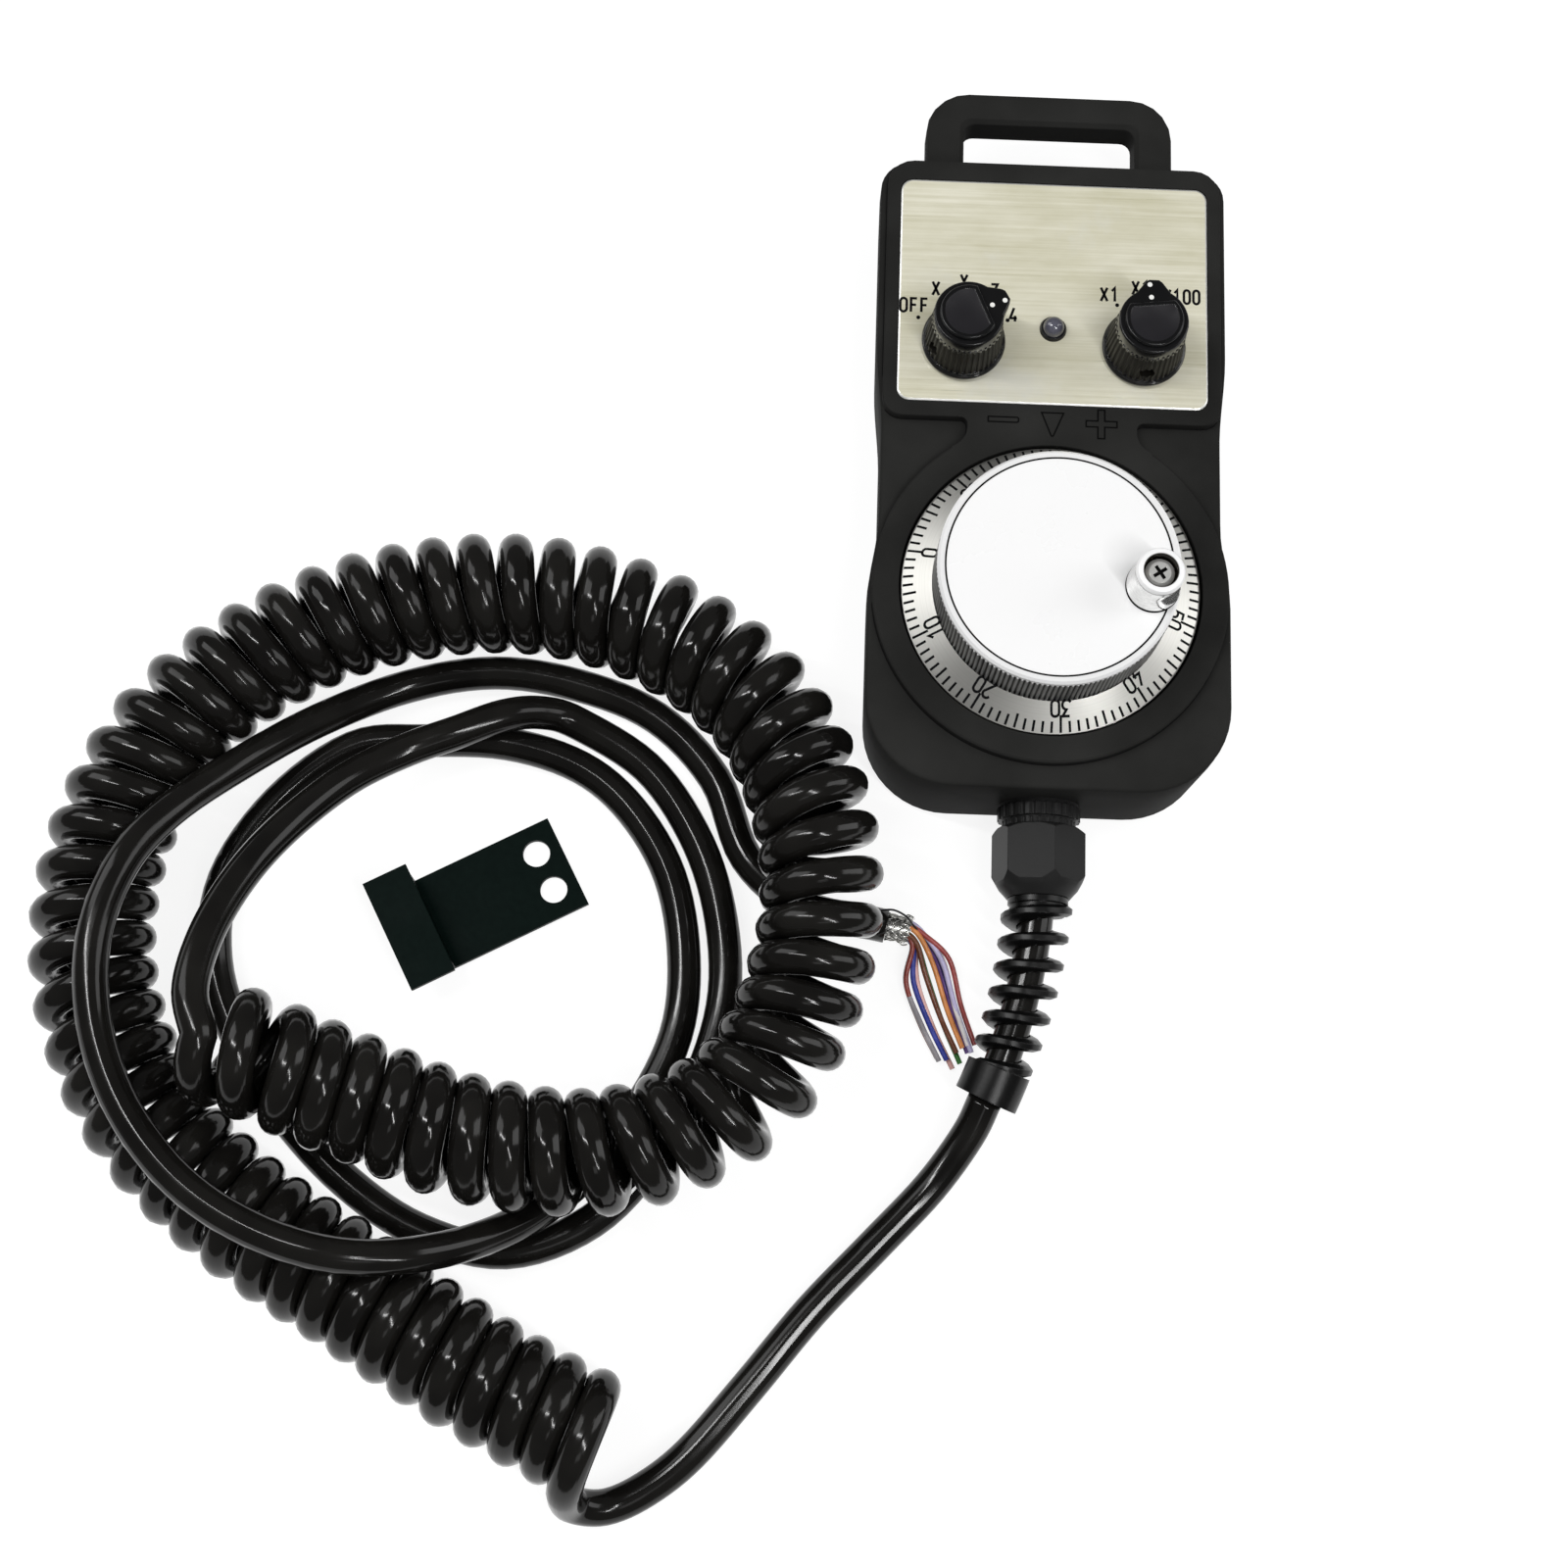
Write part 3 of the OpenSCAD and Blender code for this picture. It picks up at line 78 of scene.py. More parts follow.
def evenPath(path, gap):
    # the same path with points at an even gap
    out = [path[0].copy()]
    left = gap
    for a, b in zip(path, path[1:]):
        run = (b - a).length
        while run >= left:
            a = a + (b - a) * (left / run)
            run = (b - a).length
            out.append(a.copy())
            left = gap
        left -= run
    # a short rest is taken into the last step
    if (out[-1] - path[-1]).length > gap * 0.4:
        out.append(path[-1].copy())
    else:
        out[-1] = path[-1].copy()
    return out


def headings(path):
    last = len(path) - 1
    return [(path[min(i + 1, last)] - path[max(i - 1, 0)]).normalized() for i in range(last + 1)]


def roundFrom(centre, reach, angle):
    # level point at a reach and direction from a centre
    return centre[0] + reach * math.cos(angle), centre[1] + reach * math.sin(angle)


def circle(centre, reach, sides, start=0.0):
    return [roundFrom(centre, reach, start + fullTurn * i / sides) for i in range(sides)]


def spun(centre, side, up, reach, angle):
    # point round a centre in the plane of two directions
    return centre + (side * math.cos(angle) + up * math.sin(angle)) * reach


def lifted(p, least):
    return Vector((p.x, p.y, max(p.z, least)))


def newObject(name, data, mats, body="pendant"):
    obj = bpy.data.objects.new(name, data)
    scene.collection.objects.link(obj)
    for mat in mats:
        data.materials.append(mat)
    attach(obj, body)
    return obj


def tubeCurve(name, splines, radius, sides, mats, body="pendant", cyclic=False):
    # round lines of one thickness, which take the materials in turn
    data = bpy.data.curves.new(name, 'CURVE')
    data.dimensions = '3D'
    data.bevel_depth = 1
    data.bevel_resolution = (sides - 4) // 2
    data.use_fill_caps = True
    for pts in splines:
        spline = data.splines.new('POLY')
        spline.points.add(len(pts) - 1)
        for point, p in zip(spline.points, pts):
            point.co = (*p, 1)
            point.radius = radius
        spline.use_cyclic_u = cyclic
        spline.use_smooth = True
    obj = newObject(name, data, mats, body)
    for n, spline in enumerate(data.splines):
        spline.material_index = n % len(mats)
    return obj


def bands(bm, rings):
    # faces between each closed ring of points and the next, ring by ring
    out = []
    for low, high in zip(rings, rings[1:]):
        n = len(low)
        out.append([bm.faces.new((low[k], low[(k + 1) % n], high[(k + 1) % n], high[k])) for k in range(n)])
    return out


def intoMesh(bm, data):
    bmesh.ops.recalc_face_normals(bm, faces=bm.faces)
    bm.to_mesh(data)
    bm.free()
    return data


def tubeMesh(name, path, radius, sides, mat):
    # round tube along a path, unwrapped: once round is 1, and length is in metres
    heads = headings(path)
    side = heads[0].cross(skyward).normalized()
    bm = bmesh.new()
    rings, runs = [], [0.0]
    for i, (p, head) in enumerate(zip(path, heads)):
        side = (side - head * side.dot(head)).normalized()
        rings.append([bm.verts.new(spun(p, side, side.cross(head), radius, fullTurn * k / sides))
                      for k in range(sides)])
        if i:
            runs.append(runs[-1] + (p - path[i - 1]).length)
    unwrap = bm.loops.layers.uv.new("unwrap")
    for i, band in enumerate(bands(bm, rings)):
        for k, face in enumerate(band):
            face.smooth = True
            for loop, (m, n) in zip(face.loops, ((k, i), (k + 1, i), (k + 1, i + 1), (k, i + 1))):
                loop[unwrap].uv = (m / sides, runs[n])
    bm.faces.new(rings[0])
    bm.faces.new(rings[-1])
    return newObject(name, intoMesh(bm, bpy.data.meshes.new(name)), [mat])


def centreOf(node):
    low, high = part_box(node)
    return (low + high) / 2


surfaces = {}


def surfaceOf(node):
    # a CAD part's surface, ready to be met by rays
    if node not in surfaces:
        mesh = nodesByName[node].data
        surfaces[node] = BVHTree.FromPolygons([v.co.copy() for v in mesh.vertices],
                                              [tuple(p.vertices) for p in mesh.polygons])
    return surfaces[node]


def topAt(node, x, y):
    # height of a CAD part's upper surface over a point
    return surfaceOf(node).ray_cast(Vector((x, y, 1)), -skyward)[0].z


def pointerOf(node, centre):
    # level direction of the point that stands out most from an axis
    best = max(nodesByName[node].data.vertices,
               key=lambda v: (v.co.x - centre.x) ** 2 + (v.co.y - centre.y) ** 2)
    return math.atan2(best.co.y - centre.y, best.co.x - centre.x)


# camera, at the angle that the part is shown at

camera = {
    "place": (-0.0560, -0.1518, 0.4876),
    "turn": (0.2346, -0.0166, 0.0337),
    "lens": 55.11,
    "sensor": 36,
    "nearest": 0.01,
}

cameraData = bpy.data.cameras.new("camera")
cameraData.lens = camera["lens"]
cameraData.sensor_width = camera["sensor"]
cameraData.clip_start = camera["nearest"]
cameraObject = bpy.data.objects.new("camera", cameraData)
cameraObject.location = camera["place"]
cameraObject.rotation_euler = camera["turn"]
scene.collection.objects.link(cameraObject)
scene.camera = cameraObject
print("camera set")


# shader helpers

def newMaterial(name, colour, roughness, metal=0.0, specular=0.5, ior=None):
    mat = bpy.data.materials.new(name)
    mat.use_nodes = True
    mat.diffuse_color = colour
    shader = mat.node_tree.nodes["Principled BSDF"]
    for socket, value in (("Base Color", colour), ("Roughness", roughness), ("Metallic", metal),
                          ("Specular IOR Level", specular), ("IOR", ior)):
        if value is not None:
            shader.inputs[socket].default_value = value
    return mat, shader


def shade(colour, factor, lift=0.0):
    return tuple(min(1, c * factor + lift) for c in colour[:3]) + (1,)


def newNode(owner, kind, inputs, **settings):
    # outputs of a new node in the owner's shader; its inputs are constants or other nodes' outputs
    tree = owner.id_data
    node = tree.nodes.new("ShaderNode" + kind)
    for name, value in settings.items():
        setattr(node, name, value)
    for socket, value in inputs.items():
        if isinstance(value, bpy.types.NodeSocket):
            tree.links.new(value, node.inputs[socket])
        else:
            node.inputs[socket].default_value = value
    return node.outputs


def place(owner, stretch=(1, 1, 1), turn=(0, 0, 0), shift=(0, 0, 0)):
    # object coordinates in metres, stretched, turned and shifted
    return newNode(owner, "Mapping", {"Vector": newNode(owner, "TexCoord", {})["Object"], "Scale": stretch,
                                     "Rotation": turn, "Location": shift})[0]


def split(vector):
    return tuple(newNode(vector, "SeparateXYZ", {0: vector}))


def heightIn(owner):
    return split(place(owner))[2]


def fromAxis(owner, centre=(0, 0)):
    # level distance from an upright axis
    level = place(owner, (1, 1, 0), shift=(-centre[0], -centre[1], 0))
    return newNode(owner, "VectorMath", {0: level}, operation='LENGTH')["Value"]


def noise(where, scale, detail=3.0, rough=0.5):
    return newNode(where, "TexNoise", {"Vector": where, "Scale": scale, "Detail": detail,
                                               "Roughness": rough})["Fac"]


def remap(value, fromLow=0.3, fromHigh=0.7, toLow=0.0, toHigh=1.0):
    # the defaults stretch a noise to its full contrast
    return newNode(value, "MapRange", {"Value": value, "From Min": fromLow, "From Max": fromHigh,
                                               "To Min": toLow, "To Max": toHigh})["Result"]


def combine(kind, a, b=0.0):
    owner = a if isinstance(a, bpy.types.NodeSocket) else b
    return newNode(owner, "Math", {0: a, 1: b}, operation=kind)["Value"]


def blendColours(factor, low, high):
    return newNode(factor, "Mix", {"Factor": factor, 6: low, 7: high}, data_type='RGBA')[2]


def feed(shader, socket, value):
    shader.id_data.links.new(value, shader.inputs[socket])


def tint(shader, factor, low, high):
    feed(shader, "Base Color", blendColours(factor, low, high))


def vary(shader, socket, value, toLow, toHigh, fromLow=0.3, fromHigh=0.7):
    feed(shader, socket, remap(value, fromLow, fromHigh, toLow, toHigh))


def bump(shader, height, distance, strength=1.0, edge=0.0):
    # relief, over edges that look rounded by a radius
    inputs = {"Distance": distance, "Strength": strength, "Height": height}
    if edge:
        inputs["Normal"] = newNode(shader, "Bevel", {"Radius": edge}, samples=6)["Normal"]
    feed(shader, "Normal", newNode(shader, "Bump", inputs)["Normal"])


def plastic(name, colour, roughness, specular=0.3, grain=2600, depth=3e-5, shift=0.25, edge=0.0003,
            ior=None):
    # moulded plastic: spark-worn grain, slight change of gloss and shade
    mat, shader = newMaterial(name, colour, roughness, 0, specular, ior)
    where = place(shader)
    broad = noise(where, 45)
    tint(shader, remap(broad), shade(colour, 1 - shift), shade(colour, 1 + shift))
    vary(shader, "Roughness", broad, roughness - 0.05, roughness + 0.05)
    bump(shader, noise(where, grain, 2.0), depth, 1.0, edge)
    return mat


def metalFinish(name, colour, roughness, grain=900, stretch=(1, 1, 1), metal=1.0):
    mat, shader = newMaterial(name, colour, roughness, metal)
    lines = noise(place(shader, stretch), grain, 3.0, 0.6)
    tint(shader, remap(lines, 0.35, 0.65), shade(colour, 0.86), colour)
    vary(shader, "Roughness", noise(place(shader), 60), roughness * 0.8, roughness * 1.25)
    bump(shader, lines, 1e-5, 1.0, 0.0002)
    return mat


# finishes

housingPlastic = plastic("housing plastic", paint(41, 41, 40), 0.5, 0.5, ior=1.04)
# near-black for lines of painted shade in creases, seams and the signs' outlines
shadowLineBlack = plastic("shadow line", paint(5), 0.5, 0.08, 1500, 4e-6, edge=0)
glandPlastic = plastic("gland nylon", paint(36), 0.3, 0.4, 1800, 1e-5, ior=1.2)
reliefRubber = plastic("relief nylon", paint(15), 0.28, 0.24, 1200, 1e-5)
gasketRubber = plastic("gasket rubber", paint(20), 0.75, 0.3, 1500, 2e-5, edge=0)
switchPlastic = plastic("switch body moulding", paint(38, 42, 48), 0.5, 0.4, 1600, 1e-5)
capPlastic = plastic("knob cap", paint(35, 34, 37), 0.45, 0.16, 3200, 2e-5, edge=0)
capGloss = plastic("glossy cap side", paint(17, 17, 18), 0.2, 0.3, 900, 4e-6, edge=0)
skirtGloss = plastic("glossy skirt foot", paint(12, 12, 13), 0.14, 0.8, 900, 4e-6, edge=0)
lampRim = plastic("lamp holder", paint(20, 20, 22), 0.35, 0.4, 1600, 1e-5)
printBlack = plastic("print ink", paint(16, 16, 18), 0.6, 0.05, 1500, 4e-6, edge=0)
printWhite = plastic("white dot paint", paint(238, 238, 234), 0.5, 0.4, 1500, 4e-6, 0.03, edge=0)
terminalGreen = plastic("terminal green", paint(32, 112, 62), 0.45, 0.4, 1600, 1e-5)
boardGreen = plastic("board laminate", paint(22, 74, 44), 0.4, 0.5, 1400, 1e-5)
discFilm = plastic("code disc film", paint(150, 152, 150), 0.2, 0.5, 900, 3e-6)

shaftSteel = metalFinish("turned steel", paint(190, 190, 192), 0.28, 2400, (1, 1, 0.08))
screwSteel = metalFinish("nickelled screw", paint(214, 214, 210), 0.24, 1500)
blackScrew = metalFinish("blackened screw", paint(52, 52, 54), 0.38, 1500)
plateEdge = metalFinish("bright plate edge", paint(250, 250, 246), 0.3, 600, metal=0.6)


def cordPlastic():
    # glossy polyurethane jacket: faint ridges along its length over the twisted cores
    mat, shader = newMaterial("cord jacket", paint(9, 9, 10), 0.13, 0, 0.3)
    x, y = split(newNode(shader, "TexCoord", {})["UV"])[:2]
    turn = combine('MULTIPLY', x, fullTurn)
    wrapped = newNode(shader, "CombineXYZ", {0: combine('MULTIPLY', combine('COSINE', turn), 4.0),
                                           1: combine('MULTIPLY', combine('SINE', turn), 4.0),
                                           2: combine('MULTIPLY', y, 28)})[0]
    cloud = noise(place(shader), 90, 2.0)
    tint(shader, remap(cloud), paint(15, 14, 13), paint(26, 25, 23))
    vary(shader, "Roughness", cloud, 0.1, 0.16)
    bump(shader, noise(wrapped, 1.0, 1.0), 9e-5, 0.6)
    return mat


def hangerPaint():
    # dark green-black coating on sheet steel
    mat, shader = newMaterial("hanger coating", paint(14, 24, 21), 0.4, 0, 0.25, 1.15)
    where = place(shader)
    peel = noise(where, 700)
    tint(shader, peel, paint(5, 15, 13), paint(12, 24, 21))
    vary(shader, "Roughness", noise(where, 120), 0.32, 0.46)
    bump(shader, peel, 2e-5, 0.6, 0.0002)
    return mat


def brushedPlate():
    # pale champagne anodising, brushed from side to side and a little clouded
    mat, shader = newMaterial("brushed plate", paint(222, 217, 196), 0.34, 0.3)
    lines = noise(place(shader, (14, 1100, 300)), 1.0, 4.0, 0.7)
    broad = noise(place(shader, (40, 110, 110)), 1.0, 4.0, 0.6)
    mixed = combine('ADD', combine('MULTIPLY', lines, 0.45),
                    combine('MULTIPLY', broad, 0.55))
    tone = blendColours(remap(mixed, 0.36, 0.64), paint(223, 219, 190), paint(251, 248, 228))
    veil = remap(noise(place(shader), 38, 5.0, 0.65), 0.56, 0.74, 0, 0.7)
    tint(shader, veil, tone, paint(240, 240, 230))
    vary(shader, "Roughness", lines, 0.26, 0.42)
    bump(shader, lines, 1.5e-5, 0.7)
    return mat


def turnedDial():
    # face-turned aluminium: rings of fine grooves that throw light in sectors
    mat, shader = newMaterial("turned dial", paint(222, 223, 225), 0.3, 0.9)
    shader.inputs["Anisotropic"].default_value = 0.85
    feed(shader, "Tangent", newNode(shader, "Tangent", {}, direction_type='RADIAL', axis='Z')["Tangent"])
    rings = newNode(shader, "TexNoise", {"W": fromAxis(shader), "Scale": 5200, "Detail": 2},
                    noise_dimensions='1D')["Fac"]
    tint(shader, rings, paint(210, 209, 203), paint(230, 229, 224))
    vary(shader, "Roughness", rings, 0.29, 0.36)
    bump(shader, rings, 5e-6, 0.5)
    return mat


def whiteFace():
    # satin brushed metal on the wheel's face, painted near-white with little metal as a painted reflection of
    # its bright sheen
    # near-white diffuse colour: painted reflection
    mat, shader = newMaterial("wheel face", paint(248), 0.3, 0.05, 0.3)
    scratch = noise(place(shader, (60, 700, 1), (0, 0, 0.7)), 1.0, 5.0, 0.7)
    tint(shader, remap(scratch, 0.72, 0.8), paint(249), paint(232, 232, 228))
    vary(shader, "Roughness", noise(place(shader), 55, 4.0, 0.6), 0.24, 0.36)
    brush = noise(place(shader, (30, 1600, 1), (0, 0, 0.4)), 1.0, 3.0, 0.6)
    bump(shader, brush, 6e-6, 0.5)
    return mat


def crossHead():
    # nickelled pan head whose cross recess is painted dark as shade
    mat, shader = newMaterial("crank screw head", paint(214, 214, 210), 0.24, 0.6)
    recess = {"reach": 0.0019, "below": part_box("crank_screw")[1].z - 0.00012}
    recessShade = combine('MULTIPLY',
                   combine('LESS_THAN', fromAxis(shader, centreOf("crank_screw")), recess["reach"]),
                   combine('LESS_THAN', heightIn(shader), recess["below"]))
    streak = noise(place(shader), 1500)
    plain = blendColours(streak, paint(226, 225, 220), paint(252, 252, 250))
    # painted shade in the cross recess
    tint(shader, recessShade, plain, paint(14, 13, 12))
    vary(shader, "Roughness", recessShade, 0.26, 0.8, 0, 1)
    bump(shader, streak, 1e-5, 0.6, 0.0001)
    return mat


def knurledMetal():
    # cut teeth with painted shade between them and painted highlights on their tips, under a plain rim
    # painted near-white as a painted reflection
    mat, shader = newMaterial("knurled drum", paint(205, 206, 207), 0.28, 1)
    low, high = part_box("knurled_drum")
    outer = (high.x - low.x) / 2
    # painted shade between the teeth and painted highlights on their tips
    tip = remap(fromAxis(shader), outer - 0.0004, outer - 0.00015)
    rim = remap(heightIn(shader), high.z - 0.0023, high.z - 0.0021)
    # the rim's near-white colour, with little metal, is a painted reflection
    tint(shader, rim, blendColours(tip, paint(6), paint(206)), paint(247))
    vary(shader, "Metallic", rim, 0.85, 0.15, 0, 1)
    bump(shader, noise(place(shader, (1, 1, 12)), 300, 2.0), 5e-7, 0.1)
    return mat


def sleeveFinish():
    # polished flank; white rounded top painted matt near-white as a painted reflection, with a painted dark
    # line under it for the chamfer's dark reflection; painted shade in the bore
    mat, shader = newMaterial("polished sleeve", paint(244, 244, 243), 0.14, 0.8)
    boreShade = remap(fromAxis(shader, centreOf("crank_sleeve")), 0.0033, 0.0035, 1, 0)
    top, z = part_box("crank_sleeve")[1].z, heightIn(shader)
    crown = remap(z, top - 0.00115, top - 0.00095)
    # painted dark line under the crown: the chamfer's dark reflection
    line = combine('MULTIPLY', remap(z, top - 0.00165, top - 0.0014),
                   remap(z, top - 0.0012, top - 0.00105, 1, 0))
    turned = noise(place(shader, (1, 1, 3)), 900, 3.0, 0.6)
    flank = blendColours(remap(turned, 0.35, 0.65), paint(222, 222, 221), paint(244, 244, 243))
    # crown painted near-white as a painted reflection, and the dark line as a painted reflection
    tone = blendColours(line, blendColours(crown, flank, paint(250)), paint(92))
    # painted shade in the bore
    tint(shader, boreShade, tone, paint(58, 53, 44))
    matt = combine('MULTIPLY', crown, combine('SUBTRACT', 1, boreShade))
    vary(shader, "Metallic", matt, 0.85, 0.05, 0, 1)
    vary(shader, "Roughness", matt, 0.14, 0.35, 0, 1)
    bump(shader, turned, 2e-6, 0.4)
    return mat


def skirtPlastic():
    # ribbed skirt, duller than the foot ring and the neck under the cap; both knobs stand at one height
    mat, shader = newMaterial("ribbed skirt", paint(36, 35, 29), 0.5, 0, 0.2)
    low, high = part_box("axis_knob")
    foot, top, z = low.z + 0.0016, high.z - 0.0004, heightIn(shader)
    gloss = combine('MAXIMUM', remap(z, foot, foot + 0.0002, 1, 0),
                    remap(z, top - 0.0006, top - 0.0002))
    streak = noise(place(shader, (1, 1, 0.15)), 1400, 3.0, 0.6)
    dull = blendColours(remap(streak), paint(13, 12, 10), paint(30, 28, 23))
    tint(shader, gloss, dull, paint(13, 13, 14))
    vary(shader, "Roughness", gloss, 0.5, 0.12, 0, 1)
    vary(shader, "Specular IOR Level", gloss, 0.14, 0.7, 0, 1)
    bump(shader, streak, 2e-5, 0.5, 0.00015)
    return mat


def darkLens():
    # smoked lens of the lamp, with a painted sheen: lighter where it faces the viewer, darker towards its rim
    mat, shader = newMaterial("lamp lens", paint(30, 31, 36), 0.1, 0, 1.0)
    facing = newNode(shader, "LayerWeight", {"Blend": 0.35})["Facing"]
    # painted sheen: lighter facing the viewer, dark at grazing angles
    tint(shader, facing, paint(92, 92, 104), paint(14, 14, 17))
    bump(shader, noise(place(shader), 900, 2.0), 1e-5, 0.4)
    return mat


def braidTin():
    mat, shader = newMaterial("tinned braid", paint(222, 222, 218), 0.25, 1)
    glint = noise(place(shader), 2600, 3.0, 0.7)
    tint(shader, glint, paint(150, 148, 142), paint(245, 245, 242))
    bump(shader, glint, 2e-5, 0.7)
    return mat


def wireSheath(name, colour):
    # thin glossy insulation with pale streaks
    mat, shader = newMaterial(name, colour, 0.25)
    streak = noise(place(shader), 300, 2.0)
    tint(shader, remap(streak, 0.35, 0.65), colour, shade(colour, 1.35, 0.02))
    bump(shader, streak, 2e-5, 0.4)
    return mat


jacket = cordPlastic()
plateMetal = brushedPlate()
dialMetal = turnedDial()
faceMetal = whiteFace()
lensGlass = darkLens()
hangerCoat = hangerPaint()
tin = braidTin()
knurled = knurledMetal()
sleeveMetal = sleeveFinish()
crankHead = crossHead()
skirtRibbed = skirtPlastic()
print("finishes made")


# cord: lead from the strain relief, curled length, and tail with stripped cores

cordPlan = {
    "diameter": 7.0,
    "coilRadius": 9.0,       # to the middle of the cord
    "closestTurn": 6.95,     # spacing at the inner side of the bend
    "pointsPerTurn": 24,
    "startAngle": 18,        # degrees up from the outer side
    "startSlack": 2.2,       # how much wider the first turn starts
    "slackTurns": 0.8,
    "sides": 20,
    "curlSteps": 24,         # curve steps between route points: curl, then lead and tail
    "plainSteps": 6,
    "gap": 0.5,              # even spacing along the curl's middle line
    "bendSpan": 16,          # gaps on each side over which a bend is measured
    "clearance": 0.02,       # least height under the cord
    "restHeight": 3.6,       # of its middle line
    "leastGap": 0.8,
}

# a point without a height lies on the floor
leadRoute = [
    (-9.6, -100, 8.6), (-12.8, -107.1, 6.4), (-20, -117.5, 4.2), (-30.5, -129), (-43, -142.5),
    (-54.5, -157), (-65.5, -170.2), (-74, -177.2), (-81.5, -180.7, 4.2), (-87.8, -180.2, 7.8),
]
curlRoute = [
    (-84, -168, 12.6), (-108, -156, 12.6), (-132, -141.5, 12.6), (-156, -126.8, 12.6), (-176, -108, 12.6),
    (-187.5, -83, 12.6), (-187.5, -56, 12.6), (-176.5, -30.5, 12.6), (-155, -12, 12.6), (-130, -2.2, 12.6),
    (-103, 0, 12.6), (-77, -7.2, 13), (-56.5, -23.5, 16), (-45.5, -48, 20.2), (-45, -74.5, 20.6),
    (-56.5, -100.5, 20.8), (-81, -113.5, 21.4), (-108.5, -113, 22.4), (-134.5, -105, 25.4),
    (-150, -99.5, 28.8), (-160, -96.5, 28.8),
]
tailRoute = [
    (-162.6, -88.5, 37), (-162, -79, 34), (-159.3, -69, 29.5), (-154.5, -58.5, 24), (-147.5, -48.5, 18.6),
    (-139, -39.8, 14.2), (-129, -33.5, 11.6), (-119.5, -29.5, 11.3), (-110, -25.2, 9.9),
    (-102.5, -23.4, 6.8), (-95, -24.8, 4.2), (-80.4, -33.4), (-70.2, -47), (-64.3, -62.5), (-62.5, -80),
    (-66.5, -97), (-75, -113), (-87, -126.5), (-103.5, -133), (-121, -129.5), (-136, -120.5), (-149, -108),
    (-159.5, -93.5), (-166, -77), (-165.5, -60), (-156, -43.5), (-141.5, -31.5), (-127, -29.5),
    (-109.5, -29.5), (-94, -34), (-83, -42.8), (-74.6, -56.3), (-71, -73), (-72, -89), (-79, -104.5),
    (-90, -118.5, 4), (-102, -128.5, 13), (-116.5, -134.5, 24), (-132.5, -135.8, 29), (-149, -131.5, 29),
    (-163.5, -123, 29), (-175, -110, 29), (-182, -94.5, 29), (-184, -78, 29), (-180.5, -63, 28),
    (-173.5, -51, 23.5), (-162.5, -38.5, 14), (-148, -27, 8), (-131, -18, 3.8), (-113, -14.3),
    (-95.3, -16.4), (-78.8, -22.8), (-66.2, -35.4), (-59, -52), (-47, -61.5), (-30, -65),
]


def coilPoints():
    # turns wound right-handed round the curl's middle line, close at the inner side of each bend
    plan = cordPlan
    middle = evenPath(smoothPath(curlRoute, plan["curlSteps"]), plan["gap"])
    heads = headings(middle)
    last = len(middle) - 1
    turns = [0.0]
    for i in range(1, last + 1):
        a, b = max(0, i - plan["bendSpan"]), min(last, i + plan["bendSpan"])
        bend = math.acos(max(-1, min(1, heads[a].dot(heads[b])))) / ((b - a) * plan["gap"])
        spacing = plan["closestTurn"] / (1 - plan["coilRadius"] * bend)
        turns.append(turns[-1] + plan["gap"] / spacing)
    start = math.radians(plan["startAngle"]) / fullTurn
    whole = math.floor(turns[-1] + start - 0.25) + 0.25 - start  # ends on top of the coil
    points = []
    steps = int(whole * plan["pointsPerTurn"])
    i = 0
    for k in range(steps + 1):
        t = turns[-1] * k / steps
        while i < last - 1 and turns[i + 1] < t:
            i += 1
        f = min(1, (t - turns[i]) / (turns[i + 1] - turns[i]))
        head = heads[i].lerp(heads[i + 1], f).normalized()
        side = head.cross(skyward).normalized()
        loose = plan["startSlack"] * max(0, 1 - k / (plan["slackTurns"] * plan["pointsPerTurn"])) ** 2
        points.append(spun(middle[i].lerp(middle[i + 1], f), -side, side.cross(head),
                           plan["coilRadius"] + loose, fullTurn * (start + whole * k / steps)))
    print("coil turns", round(whole, 2))
    return points


def cordRoute():
    # lead and tail are curved into the coil's first and last points, which they share with it
    plan = cordPlan
    coil, steps = coilPoints(), plan["plainSteps"]
    before, after = ([(*p, plan["restHeight"])[:3] for p in route] for route in (leadRoute, tailRoute))
    lead = smoothPath(before + coil[:2], steps)[:-steps - 1]
    tail = smoothPath(coil[-2:] + after, steps)[steps + 1:]
    path = [lifted(p, plan["diameter"] / 2 + plan["clearance"]) * mm for p in lead + coil + tail]
    clean = [path[0]]
    for p in path[1:]:
        if (p - clean[-1]).length > plan["leastGap"] * mm:
            clean.append(p)
    return clean


cordPath = cordRoute()
cordPiece = tubeMesh("curled_cord", cordPath, cordPlan["diameter"] / 2 * mm, cordPlan["sides"], jacket)
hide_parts("cord_lead", "cord_curl", "cord_tail")


# stripped end: shield, drain wire and cores

